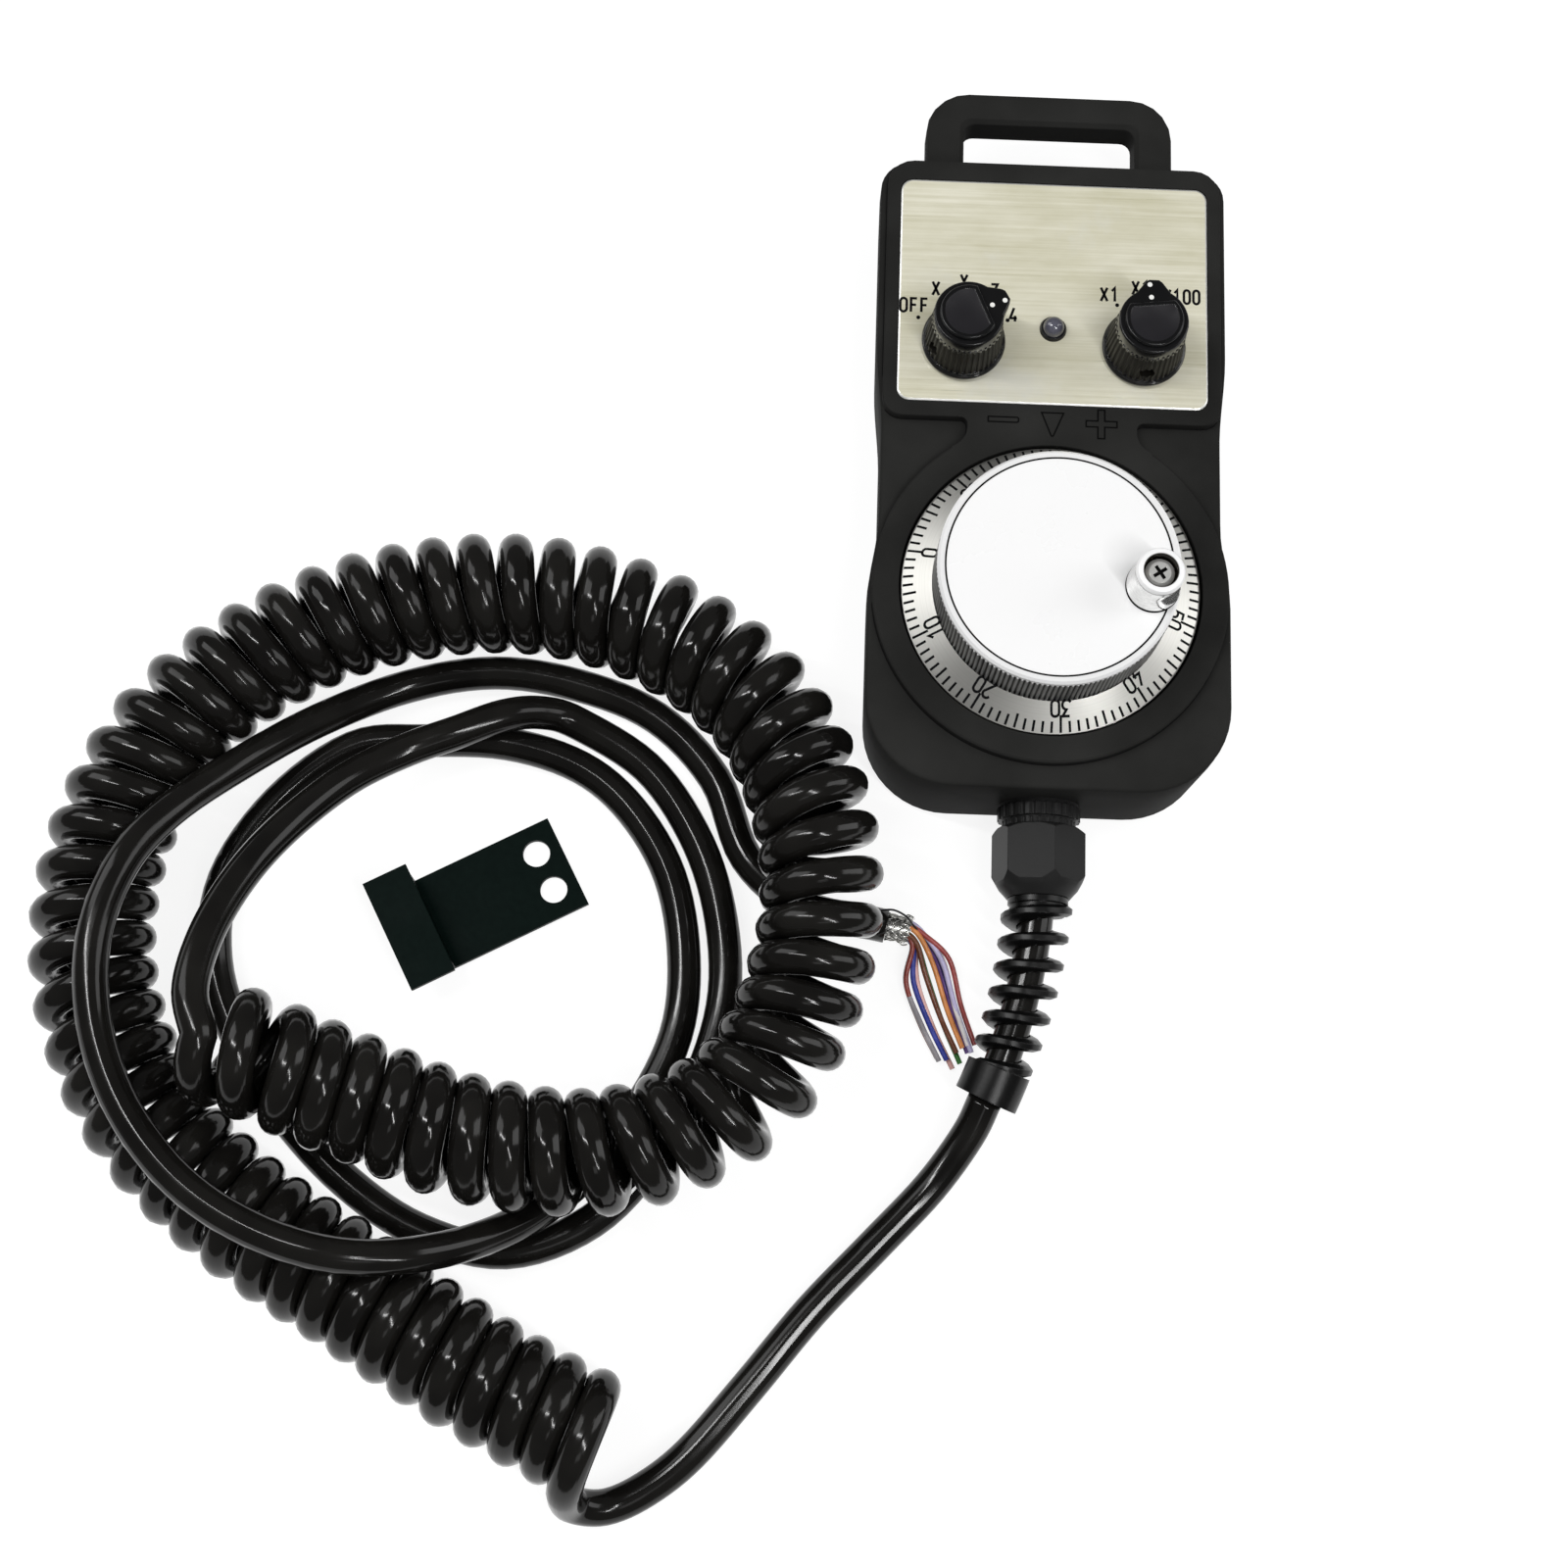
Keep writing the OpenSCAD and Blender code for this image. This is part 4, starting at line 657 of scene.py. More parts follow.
cores = {
    "radius": 0.55,
    "sides": 12,
    "bundle": (1.7, 1.5),               # half width and half height of the bundle in the shield
    "startsAt": 4.6,                    # from the end of the jacket
    "fan": 1.7,                         # how far round the bundle the cores are laid
    "tip": (-14.3, -91.5, 0.75),
    "spread": 3.7,                      # half width of the fan at the tip
    "swap": 0.16,                       # how far a core may leave its place in the fan, as a share
    "mostShare": 0.55,
    "leadIn": 2.5,                      # hidden in the bundle
    "leadOut": 1.5,
    "nearAt": 0.34,                     # two points on the way to the tip, as shares of it
    "farAt": 0.68,
    "bulge": 2.0,
    "crook": 1.3,
    "steps": 8,
    "lengths": (-2.2, 1.4),
    "leastHeight": 0.7,
    "lowRow": (0.75, 0.62, 0.65),       # heights on the way to the tip
    "highRow": (1.9, 1.75, 1.7),
    "colours": {
        "red": (150, 62, 58), "white": (236, 226, 226), "navy": (30, 30, 96),
        "pale violet": (186, 180, 214), "violet": (92, 60, 128), "orange": (206, 132, 72),
        "green": (46, 116, 38), "brown": (104, 58, 34), "pink": (232, 176, 170), "blue": (52, 62, 150),
        "red brown": (132, 54, 44), "grey": (150, 146, 150),
    },
}


end = cordPath[-1]
ahead = (end - cordPath[-4]).normalized()
across = ahead.cross(skyward).normalized()
rise = across.cross(ahead)


def fromEnd(forward, sideways=0.0, upward=0.0):
    # point beside the jacket's end, by distances in millimetres
    return end + ahead * forward * mm + rise * upward * mm + across * sideways * mm


def aroundEnd(forward, reach, angle):
    return spun(fromEnd(forward), across, rise, reach * mm, angle)


def corePath(n, total):
    plan = cores
    share = n / (total - 1) - 0.5       # from -0.5 at one side of the fan to 0.5 at the other
    low = n % 2 == 0
    heights = plan["lowRow"] if low else plan["highRow"]
    angle = math.pi * (0.5 + share * plan["fan"]) * (-1 if low else 1)
    halfWide, halfHigh = plan["bundle"]
    first = lifted(fromEnd(plan["startsAt"], -halfWide * math.cos(angle), halfHigh * math.sin(angle)),
                   plan["leastHeight"] * mm)
    tip = Vector(plan["tip"]) * mm
    toTip = tip - fromEnd(plan["startsAt"])
    sideways = Vector((-toTip.y, toTip.x, 0)).normalized()
    lastShare = share + random.uniform(-plan["swap"], plan["swap"])
    lastShare = max(-plan["mostShare"], min(plan["mostShare"], lastShare))
    fanned = lastShare * 2 * plan["spread"] * mm
    last = tip - sideways * fanned + toTip.normalized() * random.uniform(*plan["lengths"]) * mm
    bulge = -sideways * (fanned * 0.95 + share * plan["bulge"] * mm)
    near = first.lerp(last, plan["nearAt"]) + bulge * 0.55 + sideways * plan["crook"] * mm * (0.5 - share)
    far = first.lerp(last, plan["farAt"]) + bulge * 0.35
    near.z = first.z * 0.55 + heights[0] * mm * 0.45
    far.z, last.z = heights[1] * mm, heights[2] * mm
    out = first + ahead * plan["leadOut"] * mm
    return smoothPath([first - ahead * plan["leadIn"] * mm, first, out.lerp(near, 0.25), near, far, last],
                      plan["steps"])


def coreStrands():
    total = len(cores["colours"])
    wires = [corePath(n, total) for n in range(total)]
    mats = [wireSheath("core " + name, paint(*colour)) for name, colour in cores["colours"].items()]
    piece = tubeCurve("core_strands", wires, cores["radius"] * mm, cores["sides"], mats)
    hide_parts("core_wires")
    return piece


shield = {
    "strands": 13,           # in each of the two directions
    "steps": 8,
    "twist": 1.5,            # radians from end to end
    "start": 0.2,
    "length": 4.9,
    "radius": 2.75,
    "taper": 0.55,
    "weave": 0.12,           # how far strands go over and under
    "brokenEnds": 9,
    "brokenAt": (2.0, 4.4),
    "brokenLift": (3.1, 3.6),
    "leastHeight": 0.4,
    "strandRadius": 0.17,
    "strandSides": 6,
    "foilRadius": 2.6,
    "foilTaper": 0.5,
    "foilBack": 0.1,
    "foilRings": 7,
    "foilSides": 24,
    "foilSharpFrom": 32,
}


def shieldStrands():
    plan = shield
    strands = []
    for hand in (-1, 1):
        for n in range(plan["strands"]):
            pts = []
            for k in range(plan["steps"] + 1):
                t = k / plan["steps"]
                a = fullTurn * n / plan["strands"] + hand * t * plan["twist"]
                reach = plan["radius"] - plan["taper"] * t + plan["weave"] * hand * math.cos(5 * a)
                pts.append(aroundEnd(plan["start"] + plan["length"] * t, reach, a))
            strands.append(pts)
    for n in range(plan["brokenEnds"]):
        # broken ends that stand out of the twist
        a = fullTurn * n / plan["brokenEnds"] + 0.3
        root, lift = random.uniform(*plan["brokenAt"]), random.uniform(*plan["brokenLift"])
        pts = [aroundEnd(root, 2.3, a), aroundEnd(root + 0.7, lift, a), aroundEnd(root + 1.9, lift - 0.3, a)]
        strands.append([lifted(p, plan["leastHeight"] * mm) for p in smoothPath(pts, 3)])
    return tubeCurve("shield_strands", strands, plan["strandRadius"] * mm, plan["strandSides"], [tin])


def shieldFoil():
    # closed inner skin, crinkled from ring to ring
    plan, sides = shield, shield["foilSides"]
    bm = bmesh.new()
    rings = []
    for k in range(plan["foilRings"]):
        t = k / (plan["foilRings"] - 1)
        reach = plan["foilRadius"] - plan["foilTaper"] * t * t + (plan["weave"] if k % 2 else 0)
        forward = t * plan["length"] - plan["foilBack"]
        rings.append([bm.verts.new(aroundEnd(forward, reach, fullTurn * n / sides)) for n in range(sides)])
    bands(bm, rings)
    bm.faces.new(rings[0])
    bm.faces.new(rings[-1])
    data = intoMesh(bm, bpy.data.meshes.new("shield_foil"))
    data.shade_smooth()
    data.set_sharp_from_angle(angle=math.radians(plan["foilSharpFrom"]))
    piece = newObject("shield_foil", data, [tin])
    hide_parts("cable_braid")
    return piece


drain = {
    "radius": 0.22,
    "sides": 8,
    # forward, sideways and upward from the end of the jacket
    "arch": [(-3.4, -0.6, 3.3), (-2.4, -1.6, 5.2), (0.6, -2.4, 6.2), (3.6, -1.8, 5.0), (5.2, -0.9, 2.6),
             (7.4, 0.4, 0.6)],
}


def drainWire():
    arch = smoothPath([fromEnd(*p) for p in drain["arch"]], 8)
    return tubeCurve("drain_wire", [arch], drain["radius"] * mm, drain["sides"], [lampRim])


endPieces = [coreStrands(), shieldStrands(), shieldFoil(), drainWire()]
print("stripped end made")


# stroke lettering, cut as thin flat ribbons

def bow(cx, cy, rx, ry, start, end, steps=10):
    out = []
    for i in range(steps + 1):
        a = math.radians(start + (end - start) * i / steps)
        out.append((cx + rx * math.cos(a), cy + ry * math.sin(a)))
    return out


# each sign stands in a box 0.56 wide and 1 high, from its foot up
strokes = {
    "0": [bow(0.24, 0.76, 0.24, 0.24, 0, 180) + bow(0.24, 0.24, 0.24, 0.24, 180, 360) + [(0.48, 0.76)]],
    "1": [[(0.04, 0.76), (0.26, 1.0), (0.26, 0.0)]],
    "2": [bow(0.24, 0.76, 0.24, 0.24, 165, -25) + [(0.0, 0.0), (0.49, 0.0)]],
    "3": [[(0.02, 1.0), (0.46, 1.0), (0.22, 0.6)] + bow(0.2, 0.3, 0.28, 0.3, 80, -150)],
    "4": [[(0.36, 0.0), (0.36, 0.42)], [(0.28, 1.0), (0.0, 0.24), (0.5, 0.24)]],
    "5": [[(0.46, 1.0), (0.06, 1.0), (0.04, 0.54)] + bow(0.22, 0.31, 0.27, 0.31, 112, -150)],
    "6": [[(0.36, 1.0), (0.03, 0.42)] + bow(0.25, 0.27, 0.25, 0.27, 150, 510, 18)],
    "7": [[(0.0, 1.0), (0.49, 1.0), (0.17, 0.0)]],
    "8": [bow(0.25, 0.76, 0.21, 0.23, 0, 360, 16), bow(0.25, 0.27, 0.25, 0.27, 0, 360, 16)],
    "9": [[(0.14, 0.0), (0.47, 0.58)] + bow(0.25, 0.73, 0.25, 0.27, -30, 330, 18)],
    "F": [[(0.46, 1.0), (0.02, 1.0), (0.02, 0.0)], [(0.02, 0.52), (0.4, 0.52)]],
    "X": [[(0.0, 1.0), (0.48, 0.0)], [(0.48, 1.0), (0.0, 0.0)]],
    "Y": [[(0.0, 1.0), (0.24, 0.48), (0.24, 0.0)], [(0.48, 1.0), (0.24, 0.48)]],
    "Z": [[(0.0, 1.0), (0.47, 1.0), (0.0, 0.0), (0.48, 0.0)]],
}
strokes["O"] = strokes["0"]
advance = {"other": 0.48, "1": 0.5}
printWork = {"thick": 0.02, "sink": 0.004, "leastMitre": 0.45}


class Ribbons:
    # gathers flat strokes into one mesh, on a level surface or on one whose rise is given
    def __init__(self, thick, rise=None):
        self.verts, self.faces, self.thick = [], [], thick
        self.rise = rise or (lambda x, y: 0)

    def prism(self, outline, z):
        n, base = len(outline), len(self.verts)
        feet = [(x, y, z + self.rise(x, y)) for x, y in outline]
        self.verts += feet + [(x, y, h + self.thick) for x, y, h in feet]
        self.faces.append(tuple(base + n + i for i in range(n)))
        self.faces += [(base + i, base + (i + 1) % n, base + n + (i + 1) % n, base + n + i) for i in range(n)]

    def line(self, pts, width, z, closed=False):
        # mitred ribbon along level points
        pts = [Vector(p) for p in pts]
        if closed:
            pts = pts + [pts[0]]
        left, right = [], []
        count = len(pts)
        for i, p in enumerate(pts):
            if closed and i in (0, count - 1):
                a, b = (pts[0] - pts[-2]).normalized(), (pts[1] - pts[0]).normalized()
            else:
                a = (p - pts[i - 1]).normalized() if i else (pts[1] - p).normalized()
                b = (pts[i + 1] - p).normalized() if i < count - 1 else a
            mid = (a + b).normalized() if (a + b).length > 1e-6 else a
            normal = Vector((-mid.y, mid.x))
            reach = width / 2 / max(printWork["leastMitre"], normal.dot(Vector((-a.y, a.x))))
            left.append(p + normal * reach)
            right.append(p - normal * reach)
        for i in range(count - 1):
            self.prism([tuple(right[i]), tuple(right[i + 1]), tuple(left[i + 1]), tuple(left[i])], z)

    def disc(self, centre, radius, z, sides=20):
        self.prism(circle(centre, radius, sides), z)

    def words(self, text, centre, height, width, z, turn=0.0, condense=1.0, gap=0.2):
        # text centred on a point, its top turned by an angle
        pen, laid = 0.0, []
        for sign in text:
            laid += [[(pen + x * condense, y) for x, y in stroke] for stroke in strokes[sign]]
            pen += (advance.get(sign, advance["other"]) + gap) * condense
        middle = (pen - gap * condense) / 2
        ca, sa = math.cos(turn) * height, math.sin(turn) * height
        for stroke in laid:
            self.line([(centre[0] + (x - middle) * ca - (y - 0.5) * sa,
                        centre[1] + (x - middle) * sa + (y - 0.5) * ca) for x, y in stroke], width, z)

    def piece(self, name, mat, body="pendant"):
        data = bpy.data.meshes.new(name)
        data.from_pydata(self.verts, [], self.faces)
        bm = bmesh.new()
        bm.from_mesh(data)
        bmesh.ops.remove_doubles(bm, verts=bm.verts, dist=weld["drawn"])
        newObject(name, intoMesh(bm, data), [mat], body)


# dial marks: a hundred divisions, figures every ten

dialMarks = {
    "divisions": 100,
    "zeroAt": 166.3,      # degrees from +X
    "outer": 29.75,
    "short": 2.05,
    "middle": 2.6,
    "long": 3.2,
    "width": 0.5,
    "figureRadius": 25.3,
    "figureHeight": 2.95,
    "figureWidth": 0.5,
    "figureStretch": 1.08,
    "slopeBetween": (29.4, 25.0),   # where the dial's height is taken, outer first
}


def markDial():
    plan = dialMarks
    outer, inner = (reach * mm for reach in plan["slopeBetween"])
    low, high = topAt("dial_ring", 0, outer), topAt("dial_ring", 0, inner)
    slope = (high - low) / (outer - inner)
    marks = Ribbons(printWork["thick"] * mm, lambda x, y: (outer - math.hypot(x, y)) * slope)
    z = low - printWork["sink"] * mm
    for i in range(plan["divisions"]):
        a = math.radians(plan["zeroAt"] + 360 * i / plan["divisions"])
        length = plan["long"] if i % 10 == 0 else plan["middle"] if i % 5 == 0 else plan["short"]
        d = Vector((math.cos(a), math.sin(a)))
        marks.line([d * (plan["outer"] - length) * mm, d * plan["outer"] * mm], plan["width"] * mm, z)
        if i % 10 == 0:
            marks.words(str(i), d * plan["figureRadius"] * mm, plan["figureHeight"] * mm,
                        plan["figureWidth"] * mm, z, a - math.pi / 2, plan["figureStretch"])
    marks.piece("dial_marks", printBlack, "handwheel")


markDial()
print("dial marked")


# panel plate with a bright bevelled edge, and its labels

plateWork = {
    "corner": 2.6,
    "cornerSteps": 8,
    "bevel": 0.38,
    "bevelDrop": 0.55,       # its height as a share of its width
    "holeSides": 48,
    "holes": {"axis_spindle": 4.7, "multiplier_spindle": 4.7, "lamp_lens": 2.6},
}


def roundedLoop(low, high, inset):
    radius, steps = plateWork["corner"] * mm, plateWork["cornerSteps"]
    right, left, front, back = high.x - radius, low.x + radius, low.y + radius, high.y - radius
    return [roundFrom(corner, radius - inset, math.radians(start + 90 * i / steps))
            for corner, start in (((right, front), -90), ((right, back), 0), ((left, back), 90),
                                  ((left, front), 180))
            for i in range(steps + 1)]


def buildPlate():
    low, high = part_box("panel_plate")
    bm = bmesh.new()
    edge = plateWork["bevel"] * mm
    rings = [[bm.verts.new((x, y, z)) for x, y in roundedLoop(low, high, inset)]
             for inset, z in ((0, low.z), (0, high.z - edge * plateWork["bevelDrop"]), (edge, high.z))]
    bright = sum(bands(bm, rings), [])
    crest = rings[-1]
    edges = [bm.edges.get((a, b)) for a, b in zip(crest, crest[1:] + crest[:1])]
    for node, reach in plateWork["holes"].items():
        hole = circle(centreOf(node), reach * mm, plateWork["holeSides"])
        loop = [bm.verts.new((x, y, high.z)) for x, y in hole]
        edges += [bm.edges.new(pair) for pair in zip(loop, loop[1:] + loop[:1])]
    filled = bmesh.ops.triangle_fill(bm, use_beauty=True, edges=edges)
    for face in bright:
        face.material_index = 1
    bmesh.ops.recalc_face_normals(bm, faces=bm.faces)
    for face in filled["geom"]:
        if isinstance(face, bmesh.types.BMFace) and face.normal.z < 0:
            face.normal_flip()
    data = bpy.data.meshes.new("brushed_panel")
    bm.to_mesh(data)
    bm.free()
    plate = newObject("brushed_panel", data, [plateMetal, plateEdge])
    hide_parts("panel_plate")
    return high.z


panelWords = {
    "height": 3.0,
    "width": 0.54,
    "gap": 0.3,
    "condense": 0.92,
    "condenseLong": 0.84,    # for four signs and more
    "labels": [("OFF", -28.75, 60.2), ("X", -24.3, 64.1), ("Y", -18.5, 65.9), ("Z", -12.2, 64.0),
               ("4", -8.2, 58.9), ("X1", 11.6, 64.2), ("X10", 19.2, 65.9), ("X100", 26.6, 64.3)],
    "dots": [(-27.8, 57.5), (-9.4, 57.6), (13.2, 61.9), (-23.2, 61.6), (-18.55, 63.4), (-13.6, 62.2),
             (18.5, 63.4), (23.9, 61.8)],
    "dotRadius": 0.42,
}


def letterPanel(top):
    plan = panelWords
    words = Ribbons(printWork["thick"] * mm)
    z = top - printWork["sink"] * mm
    for text, x, y in plan["labels"]:
        condense = plan["condense"] if len(text) < 4 else plan["condenseLong"]
        words.words(text, (x * mm, y * mm), plan["height"] * mm, plan["width"] * mm, z,
                    condense=condense, gap=plan["gap"])
    for x, y in plan["dots"]:
        words.disc((x * mm, y * mm), plan["dotRadius"] * mm, z)
    words.piece("panel_labels", printBlack)


letterPanel(buildPlate())
print("panel made")


# moulded signs on the bridge between panel and wheel, outlined in near-black as painted shade of their
# moulded lines

moulded = {"line": 0.3, "proud": 0.07, "sink": 0.02, "restAt": 35.6}
bridgeSigns = [
    [(-13.1, 35.25), (-7.2, 35.25), (-6.9, 35.45), (-6.9, 36.15), (-7.2, 36.35), (-13.1, 36.35)],
    [(-2.2, 37.6), (2.3, 37.6), (0.25, 32.7), (0, 32.5), (-0.25, 32.7)],
    [(6.9, 34.9), (9.3, 34.9), (9.3, 32.4), (10.7, 32.4), (10.7, 34.9), (13.2, 34.9), (13.2, 36.2),
     (10.7, 36.2), (10.7, 38.6), (9.3, 38.6), (9.3, 36.2), (6.9, 36.2)],
]


def mouldSigns():
    signs = Ribbons(moulded["proud"] * mm)
    for outline in bridgeSigns:
        x = sum(p[0] for p in outline) / len(outline) * mm
        z = topAt("front_shell", x, moulded["restAt"] * mm) - moulded["sink"] * mm
        signs.line([(px * mm, py * mm) for px, py in outline], moulded["line"] * mm, z, True)
    signs.piece("bridge_signs", shadowLineBlack)


mouldSigns()


# dark line of painted shade in the crease at the foot of the raised frame, bridge and bezel

stepShadeLines = {
    "radius": 0.22,
    "sink": 0.08,
    "sides": 8,
    "leastHeight": 0.0275,   # these four in metres
    "level": 0.00003,
    "leastRise": 0.0001,
    "digits": 6,             # to which ends of edges are matched
    "floorFacing": 0.95,     # least and most upward facing of the floor and of the wall
    "wallFacing": 0.8,
}


def footLoops(node):
    # loops of edges where an upright wall rises from a level face
    plan = stepShadeLines
    bm = bmesh.new()
    bm.from_mesh(nodesByName[node].data)
    bmesh.ops.remove_doubles(bm, verts=bm.verts, dist=weld["cad"])
    bm.normal_update()
    links = {}
    for e in bm.edges:
        low, high = sorted(v.co.z for v in e.verts)
        if len(e.link_faces) != 2 or high - low > plan["level"] or low < plan["leastHeight"]:
            continue
        floor = max(e.link_faces, key=lambda f: f.normal.z)
        wall = min(e.link_faces, key=lambda f: abs(f.normal.z))
        rises = max(v.co.z for v in wall.verts) > high + plan["leastRise"]
        if floor.normal.z > plan["floorFacing"] and abs(wall.normal.z) < plan["wallFacing"] and rises:
            a, b = (tuple(round(c, plan["digits"]) for c in v.co) for v in e.verts)
            links.setdefault(a, []).append(b)
            links.setdefault(b, []).append(a)
    bm.free()
    loops, used = [], set()
    for start in sorted(links, key=lambda p: (len(links[p]) != 1, p)):
        loop, ahead = [], [start]
        while ahead and ahead[0] not in used:
            loop.append(ahead[0])
            used.add(ahead[0])
            ahead = [p for p in links[loop[-1]] if p not in used]
        if len(loop) > 3:
            loops.append(loop + [loop[0]] if loop[0] in links[loop[-1]] else loop)
    return loops


def cutGrooves():
    # a sunk near-black tube of painted shade along each crease
    lines = [[(x, y, z - stepShadeLines["sink"] * mm) for x, y, z in loop] for loop in footLoops("front_shell")]
    print("groove lines", [len(line) for line in lines])
    tubeCurve("step_shade_line", lines, stepShadeLines["radius"] * mm, stepShadeLines["sides"], [shadowLineBlack])


cutGrooves()


# selector caps: lower shelf with the pointer, raised round table cut off along a chord

knobWork = {
    "sides": 192,
    "shelfDrop": 1.0,
    "tableInset": 1.15,      # from the cap's edge to the table's foot
    "tableFlare": 0.06,      # widening of the table's very foot
    "flareHeight": 0.08,
    "chordAt": 0.53,         # share of the cap's radius
    "edge": 0.42,            # rounding of shelf and table
    "lip": 0.55,             # width of the table's smooth border
    "sink": 0.05,            # how far the grained middle lies below that border
    "footSink": 0.1,         # how far the cap reaches into the skirt
    "sharpFrom": 50,
    "measureDrop": 2.4,      # level at which the carried-over cap is measured, below its top
    "measureFrom": 20,
    "dotsAt": (5.0, 7.75),   # on the cap and on its pointer's nose
    "dotRadius": 0.5,
    "dotThick": 0.03,
    "dotSink": 0.005,
}
rounding = [(0, 1), (0.13, 0.5), (0.5, 0.13), (1, 0)]   # inset and drop, as shares of the edge


def capOutline(side, centre, heading):
    # the carried-over cap seen from above, as a reach for each direction
    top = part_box(side + "_knob_cap")[1].z
    axis = Vector((centre.x, centre.y, top - knobWork["measureDrop"] * mm))
    reaches = []
    for k in range(knobWork["sides"]):
        out = Vector((*roundFrom((0, 0), 1, heading + fullTurn * k / knobWork["sides"]), 0))
        hit = surfaceOf(side + "_knob_cap").ray_cast(axis + out * knobWork["measureFrom"] * mm, -out)[0]
        reaches.append((axis - hit).length)
    return reaches, top


def capPiece(side):
    plan = knobWork
    sides = plan["sides"]
    centre = centreOf(side + "_spindle")
    heading = pointerOf(side + "_knob_cap", centre)
    reaches, top = capOutline(side, centre, heading)
    capRadius = sorted(reaches)[sides // 3]   # one from the round part, clear of the pointer
    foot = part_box(side + "_knob")[1].z - plan["footSink"] * mm
    shelf = top - plan["shelfDrop"] * mm
    edge, lip, sink = (plan[key] * mm for key in ("edge", "lip", "sink"))
    chord = plan["chordAt"] * capRadius

    def shelfRing(inset, z):
        return [(r - inset, z) for r in reaches]

    def tableRing(inset, z):
        r = capRadius - plan["tableInset"] * mm - inset
        across = [math.cos(fullTurn * k / sides) for k in range(sides)]
        return [(min(r, (chord - inset) / c) if c > 0 else r, z) for c in across]

    rings = [shelfRing(0, foot)]
    rings += [shelfRing(edge * inset, shelf - edge * drop) for inset, drop in rounding]
    rings += [tableRing(-plan["tableFlare"] * mm, shelf), tableRing(0, shelf + plan["flareHeight"] * mm)]
    rings += [tableRing(edge * inset, top - edge * drop) for inset, drop in rounding]
    rings += [tableRing(edge + lip, top), tableRing(edge + lip + sink, top - sink)]
    bm = bmesh.new()
    loops = [[bm.verts.new((*roundFrom(centre, r, heading + fullTurn * k / sides), z))
              for k, (r, z) in enumerate(ring)] for ring in rings]
    for n, band in enumerate(bands(bm, loops)):
        for face in band:
            face.material_index = 0 if n >= len(loops) - 2 else 1
            face.smooth = True
    bm.faces.new(loops[-1])
    bm.faces.new(loops[0]).material_index = 1
    data = intoMesh(bm, bpy.data.meshes.new(side + "_cap"))
    data.set_sharp_from_angle(angle=math.radians(plan["sharpFrom"]))
    cap = newObject(side + "_cap", data, [capPlastic, capGloss], side + "_selector")
    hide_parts(side + "_knob_cap")
    dots = Ribbons(plan["dotThick"] * mm)
    for reach in plan["dotsAt"]:
        dots.disc(roundFrom(centre, reach * mm, heading), plan["dotRadius"] * mm,
                  shelf - plan["dotSink"] * mm)
    dots.piece(side + "_knob_dots", printWhite, side + "_selector")


for side in ("axis", "multiplier"):
    capPiece(side)
print("selector caps made")


# plain glossy ring at the foot of each knob's skirt

footRings = {"radius": 0.55, "proud": 0.3, "lift": 0.03, "sides": 12, "steps": 96}


def roundLine(name, centre, reach, z, plan, mat, body):
    # closed level line round an upright axis
    points = [(x, y, z) for x, y in circle(centre, reach, plan["steps"])]
    tubeCurve(name, [points], plan["radius"] * mm, plan["sides"], [mat], body, cyclic=True)


for side in ("axis", "multiplier"):
    low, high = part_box(side + "_knob")
    reach = (high.y - low.y) / 2 + (footRings["proud"] - footRings["radius"]) * mm
    height = low.z + (footRings["radius"] + footRings["lift"]) * mm
    roundLine(side + "_foot_ring", centreOf(side + "_spindle"), reach, height, footRings, skirtGloss,
              side + "_selector")


# fine dark seams of painted shade: between the wheel's rim and face, and round the crank sleeve's foot

seams = {"radius": 0.2, "sides": 6, "steps": 160, "faceSink": 0.03, "sleeveInset": 0.1, "sleeveLift": 0.08}

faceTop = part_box("face_disc")[1].z
for name, node, inset, lift in (("face_seam", "face_disc", 0, -seams["faceSink"]),
                                ("sleeve_seam", "crank_sleeve", seams["sleeveInset"], seams["sleeveLift"])):
    low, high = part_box(node)
    roundLine(name, centreOf(node), (high.x - low.x) / 2 - inset * mm, faceTop + lift * mm, seams,
              shadowLineBlack, "handwheel")
print("wheel finished")


# finishes of the carried-over parts; those not named here are housing plastic

dressing = [
    (gasketRubber, "shell_gasket encoder_gasket gland_washer gland_seal"),
    (glandPlastic, "gland_body gland_locknut gland_nut"),
    (reliefRubber, "strain_relief"),
    (jacket, "cable_in_gland cord_lead cord_curl cord_tail"),
    (hangerCoat, "wall_hanger"),
    (blackScrew, "housing_screws axis_knob_screw multiplier_knob_screw"),
    (screwSteel, "dial_screws hub_screw encoder_screws"),
    (shaftSteel, "crank_washer encoder_bearings encoder_shaft axis_spindle axis_switch_washer axis_switch_nut"
                 " multiplier_spindle multiplier_switch_washer multiplier_switch_nut"),
    (switchPlastic, "encoder_body encoder_cover axis_switch multiplier_switch"),
    (terminalGreen, "terminal_block"),
    (boardGreen, "sensor_board"),
    (discFilm, "code_disc"),
    (dialMetal, "dial_ring"),
    (knurled, "knurled_drum"),
    (faceMetal, "face_disc"),
    (sleeveMetal, "crank_sleeve"),
    (crankHead, "crank_screw"),
    (skirtRibbed, "axis_knob multiplier_knob"),
    (capPlastic, "axis_knob_cap multiplier_knob_cap"),
    (lampRim, "lamp_holder"),
    (lensGlass, "lamp_lens"),
    (plateMetal, "panel_plate"),
    (tin, "cable_braid"),
    (printWhite, "core_wires"),
]
finishOf = {name: mat for mat, names in dressing for name in names.split()}
sharpFrom = 33


def dress(obj, mat):
    obj.data.materials.clear()
    obj.data.materials.append(mat)
    obj.data.polygons.foreach_set("use_smooth", [True] * len(obj.data.polygons))
    joined = obj.modifiers.new("weld", 'WELD')
    joined.merge_threshold = weld["cad"]
    edges = obj.modifiers.new("sharp edges", 'EDGE_SPLIT')
    edges.split_angle = math.radians(sharpFrom)
    edges.use_edge_sharp = False


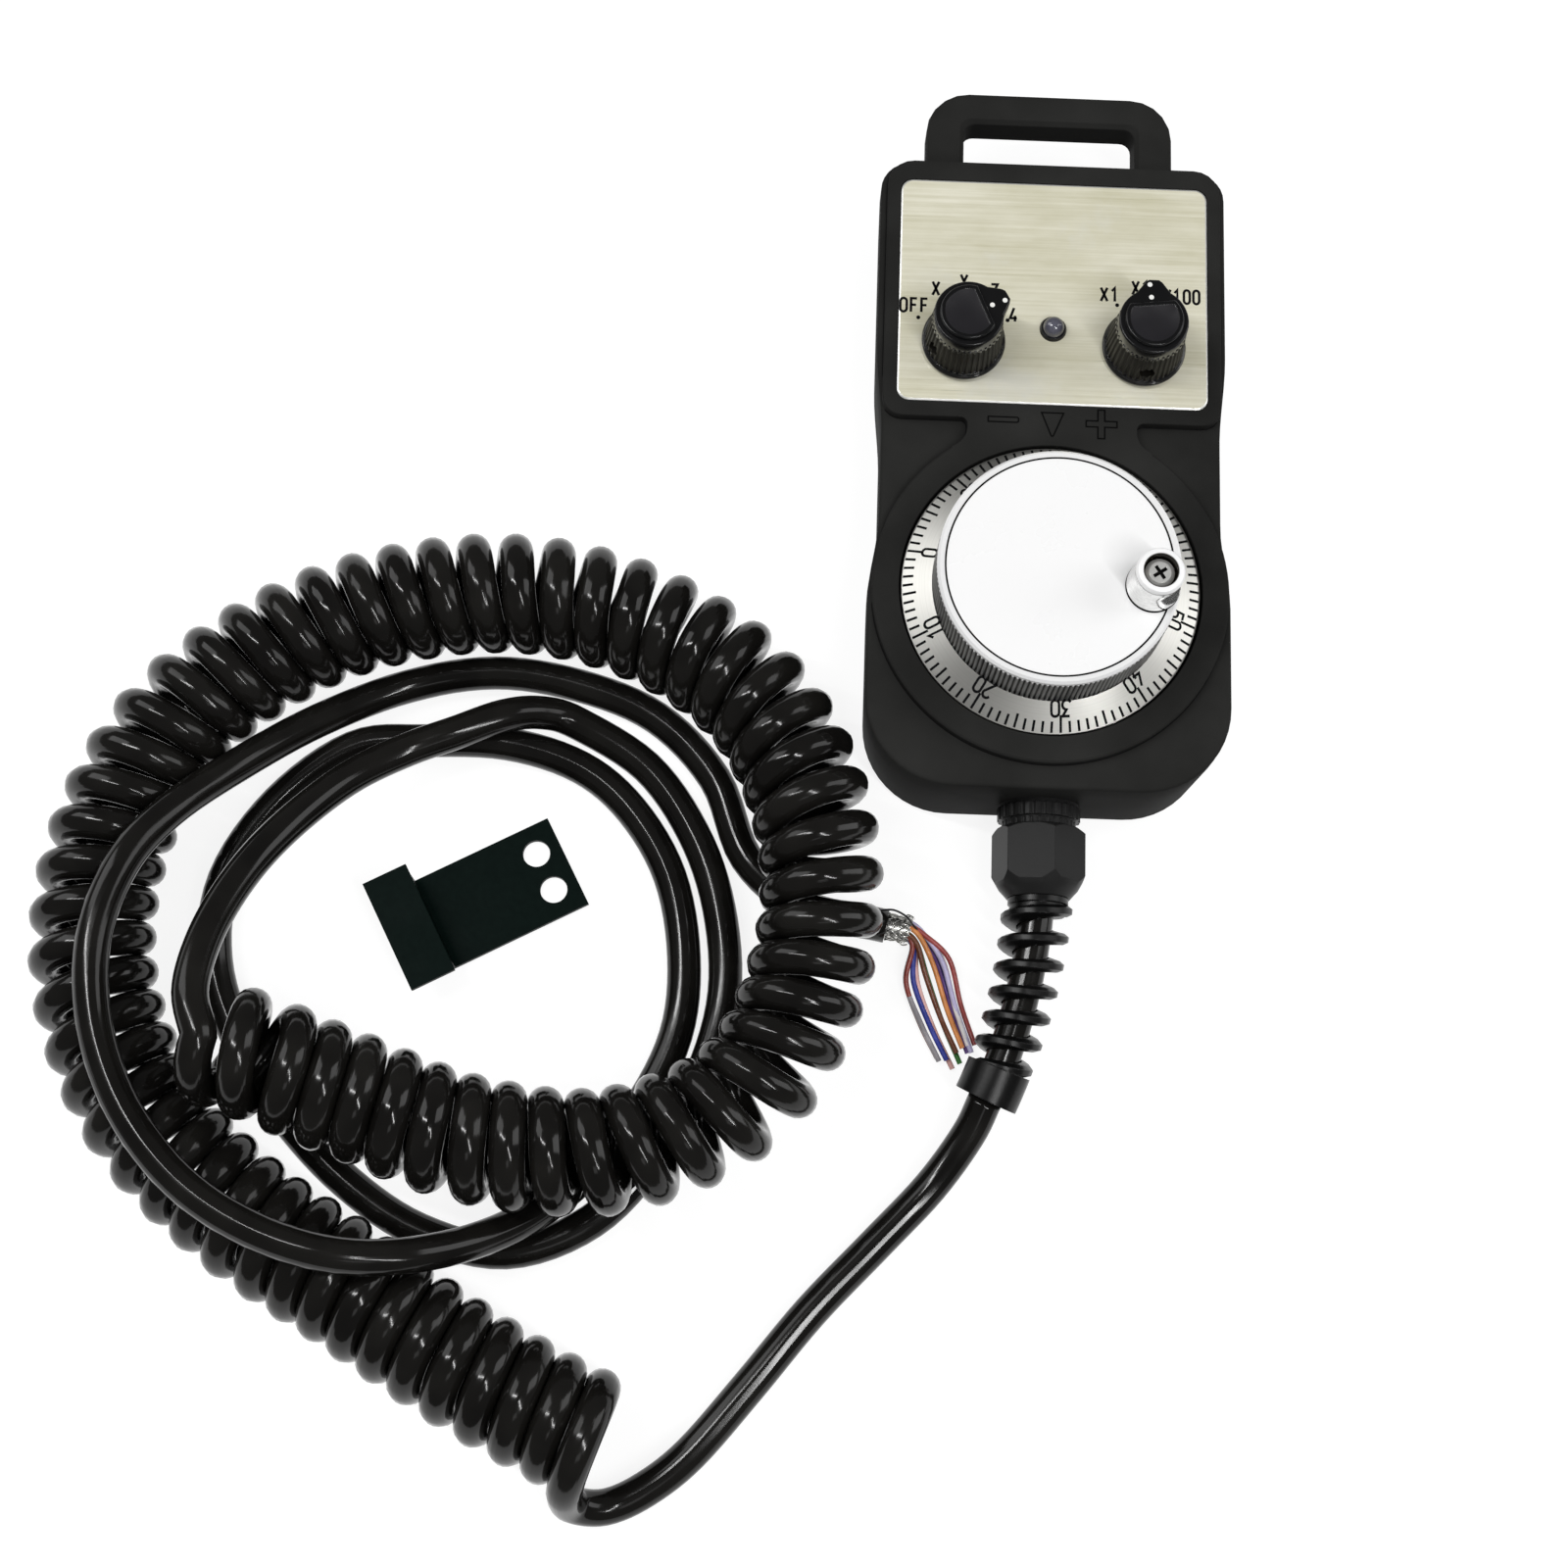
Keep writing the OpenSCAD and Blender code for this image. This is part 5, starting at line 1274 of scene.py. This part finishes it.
for name, obj in nodesByName.items():
    dress(obj, finishOf.get(name, housingPlastic))
print("carried-over parts dressed")


# floor, background and light

studio = {
    "floorSize": 4.0,
    "floorHeight": -0.00012,
    "floorGlow": 0.86,
    "floorColour": 0.24,
    "floorBounce": 0.4,
    "skyFill": 0.36,
    "skyInGloss": 0.13,
    "panels": [
        {"place": (-0.88, 0.44, 0.75), "aim": (0, 0, 0), "size": (0.5, 0.8), "radiance": 2.4},
        {"place": (0.95, 0.16, 0.62), "aim": (0, 0, 0), "size": (0.5, 0.9), "radiance": 2.3},
        {"place": (0.1, -0.72, 0.9), "aim": (0, 0, 0), "size": (0.3, 0.22), "radiance": 1.0},
        {"place": (-0.56, 0.1, 1.02), "aim": (-0.1, -0.03, 0), "size": (0.04, 0.6), "radiance": 45},
        {"place": (0.3, -0.4, 0.98), "aim": (-0.1, -0.03, 0), "size": (0.04, 0.6), "radiance": 45},
    ],
}


def seenBy(tree):
    # whether the camera sees a point, straight or through glass, and whether a gloss does
    path = newNode(tree, "LightPath", {})
    return combine('MAXIMUM', path["Is Camera Ray"], path["Is Transmission Ray"]), path["Is Glossy Ray"]


def buildFloor():
    # one tone for the camera and for gloss, and another for the light that bounces off it
    half, z = studio["floorSize"] / 2, studio["floorHeight"]
    data = bpy.data.meshes.new("floor")
    data.from_pydata([(-half, -half, z), (half, -half, z), (half, half, z), (-half, half, z)], [],
                     [(0, 1, 2, 3)])
    floor = bpy.data.objects.new("floor", data)
    scene.collection.objects.link(floor)
    mat = bpy.data.materials.new("pale floor")
    mat.use_nodes = True
    tree = mat.node_tree
    tree.nodes.clear()

    plain, seen = (newNode(tree, "BsdfDiffuse", {"Color": (tone, tone, tone, 1)})[0]
                   for tone in (studio["floorBounce"], studio["floorColour"]))
    glow = newNode(tree, "Emission", {"Strength": studio["floorGlow"]})[0]
    both = newNode(tree, "AddShader", {0: seen, 1: glow})[0]
    shown = combine('MAXIMUM', *seenBy(tree))
    mixed = newNode(tree, "MixShader", {0: shown, 1: plain, 2: both})[0]
    newNode(tree, "OutputMaterial", {"Surface": mixed})
    data.materials.append(mat)


def buildWorld():
    # white where it is seen directly, dim where it only lights or is reflected
    world = bpy.data.worlds.new("studio")
    scene.world = world
    world.use_nodes = True
    tree = world.node_tree
    background = tree.nodes["Background"]
    background.inputs["Color"].default_value = (1, 1, 1, 1)
    direct, glossy = seenBy(tree)
    fill = combine('ADD', studio["skyFill"],
                   combine('MULTIPLY', glossy, studio["skyInGloss"] - studio["skyFill"]))
    feed(background, "Strength", combine('MAXIMUM', fill, direct))


def panelLight(name, place, aim, size, radiance):
    light = bpy.data.lights.new(name, 'AREA')
    light.shape = 'RECTANGLE'
    light.size, light.size_y = size
    light.energy = radiance * math.pi * size[0] * size[1]
    lamp = bpy.data.objects.new(name, light)
    lamp.location = place
    lamp.rotation_euler = (Vector(aim) - Vector(place)).to_track_quat('-Z', 'Y').to_euler()
    scene.collection.objects.link(lamp)


buildFloor()
buildWorld()
for n, panel in enumerate(studio["panels"]):
    panelLight("panel_%d" % n, **panel)
print("floor and lights set")
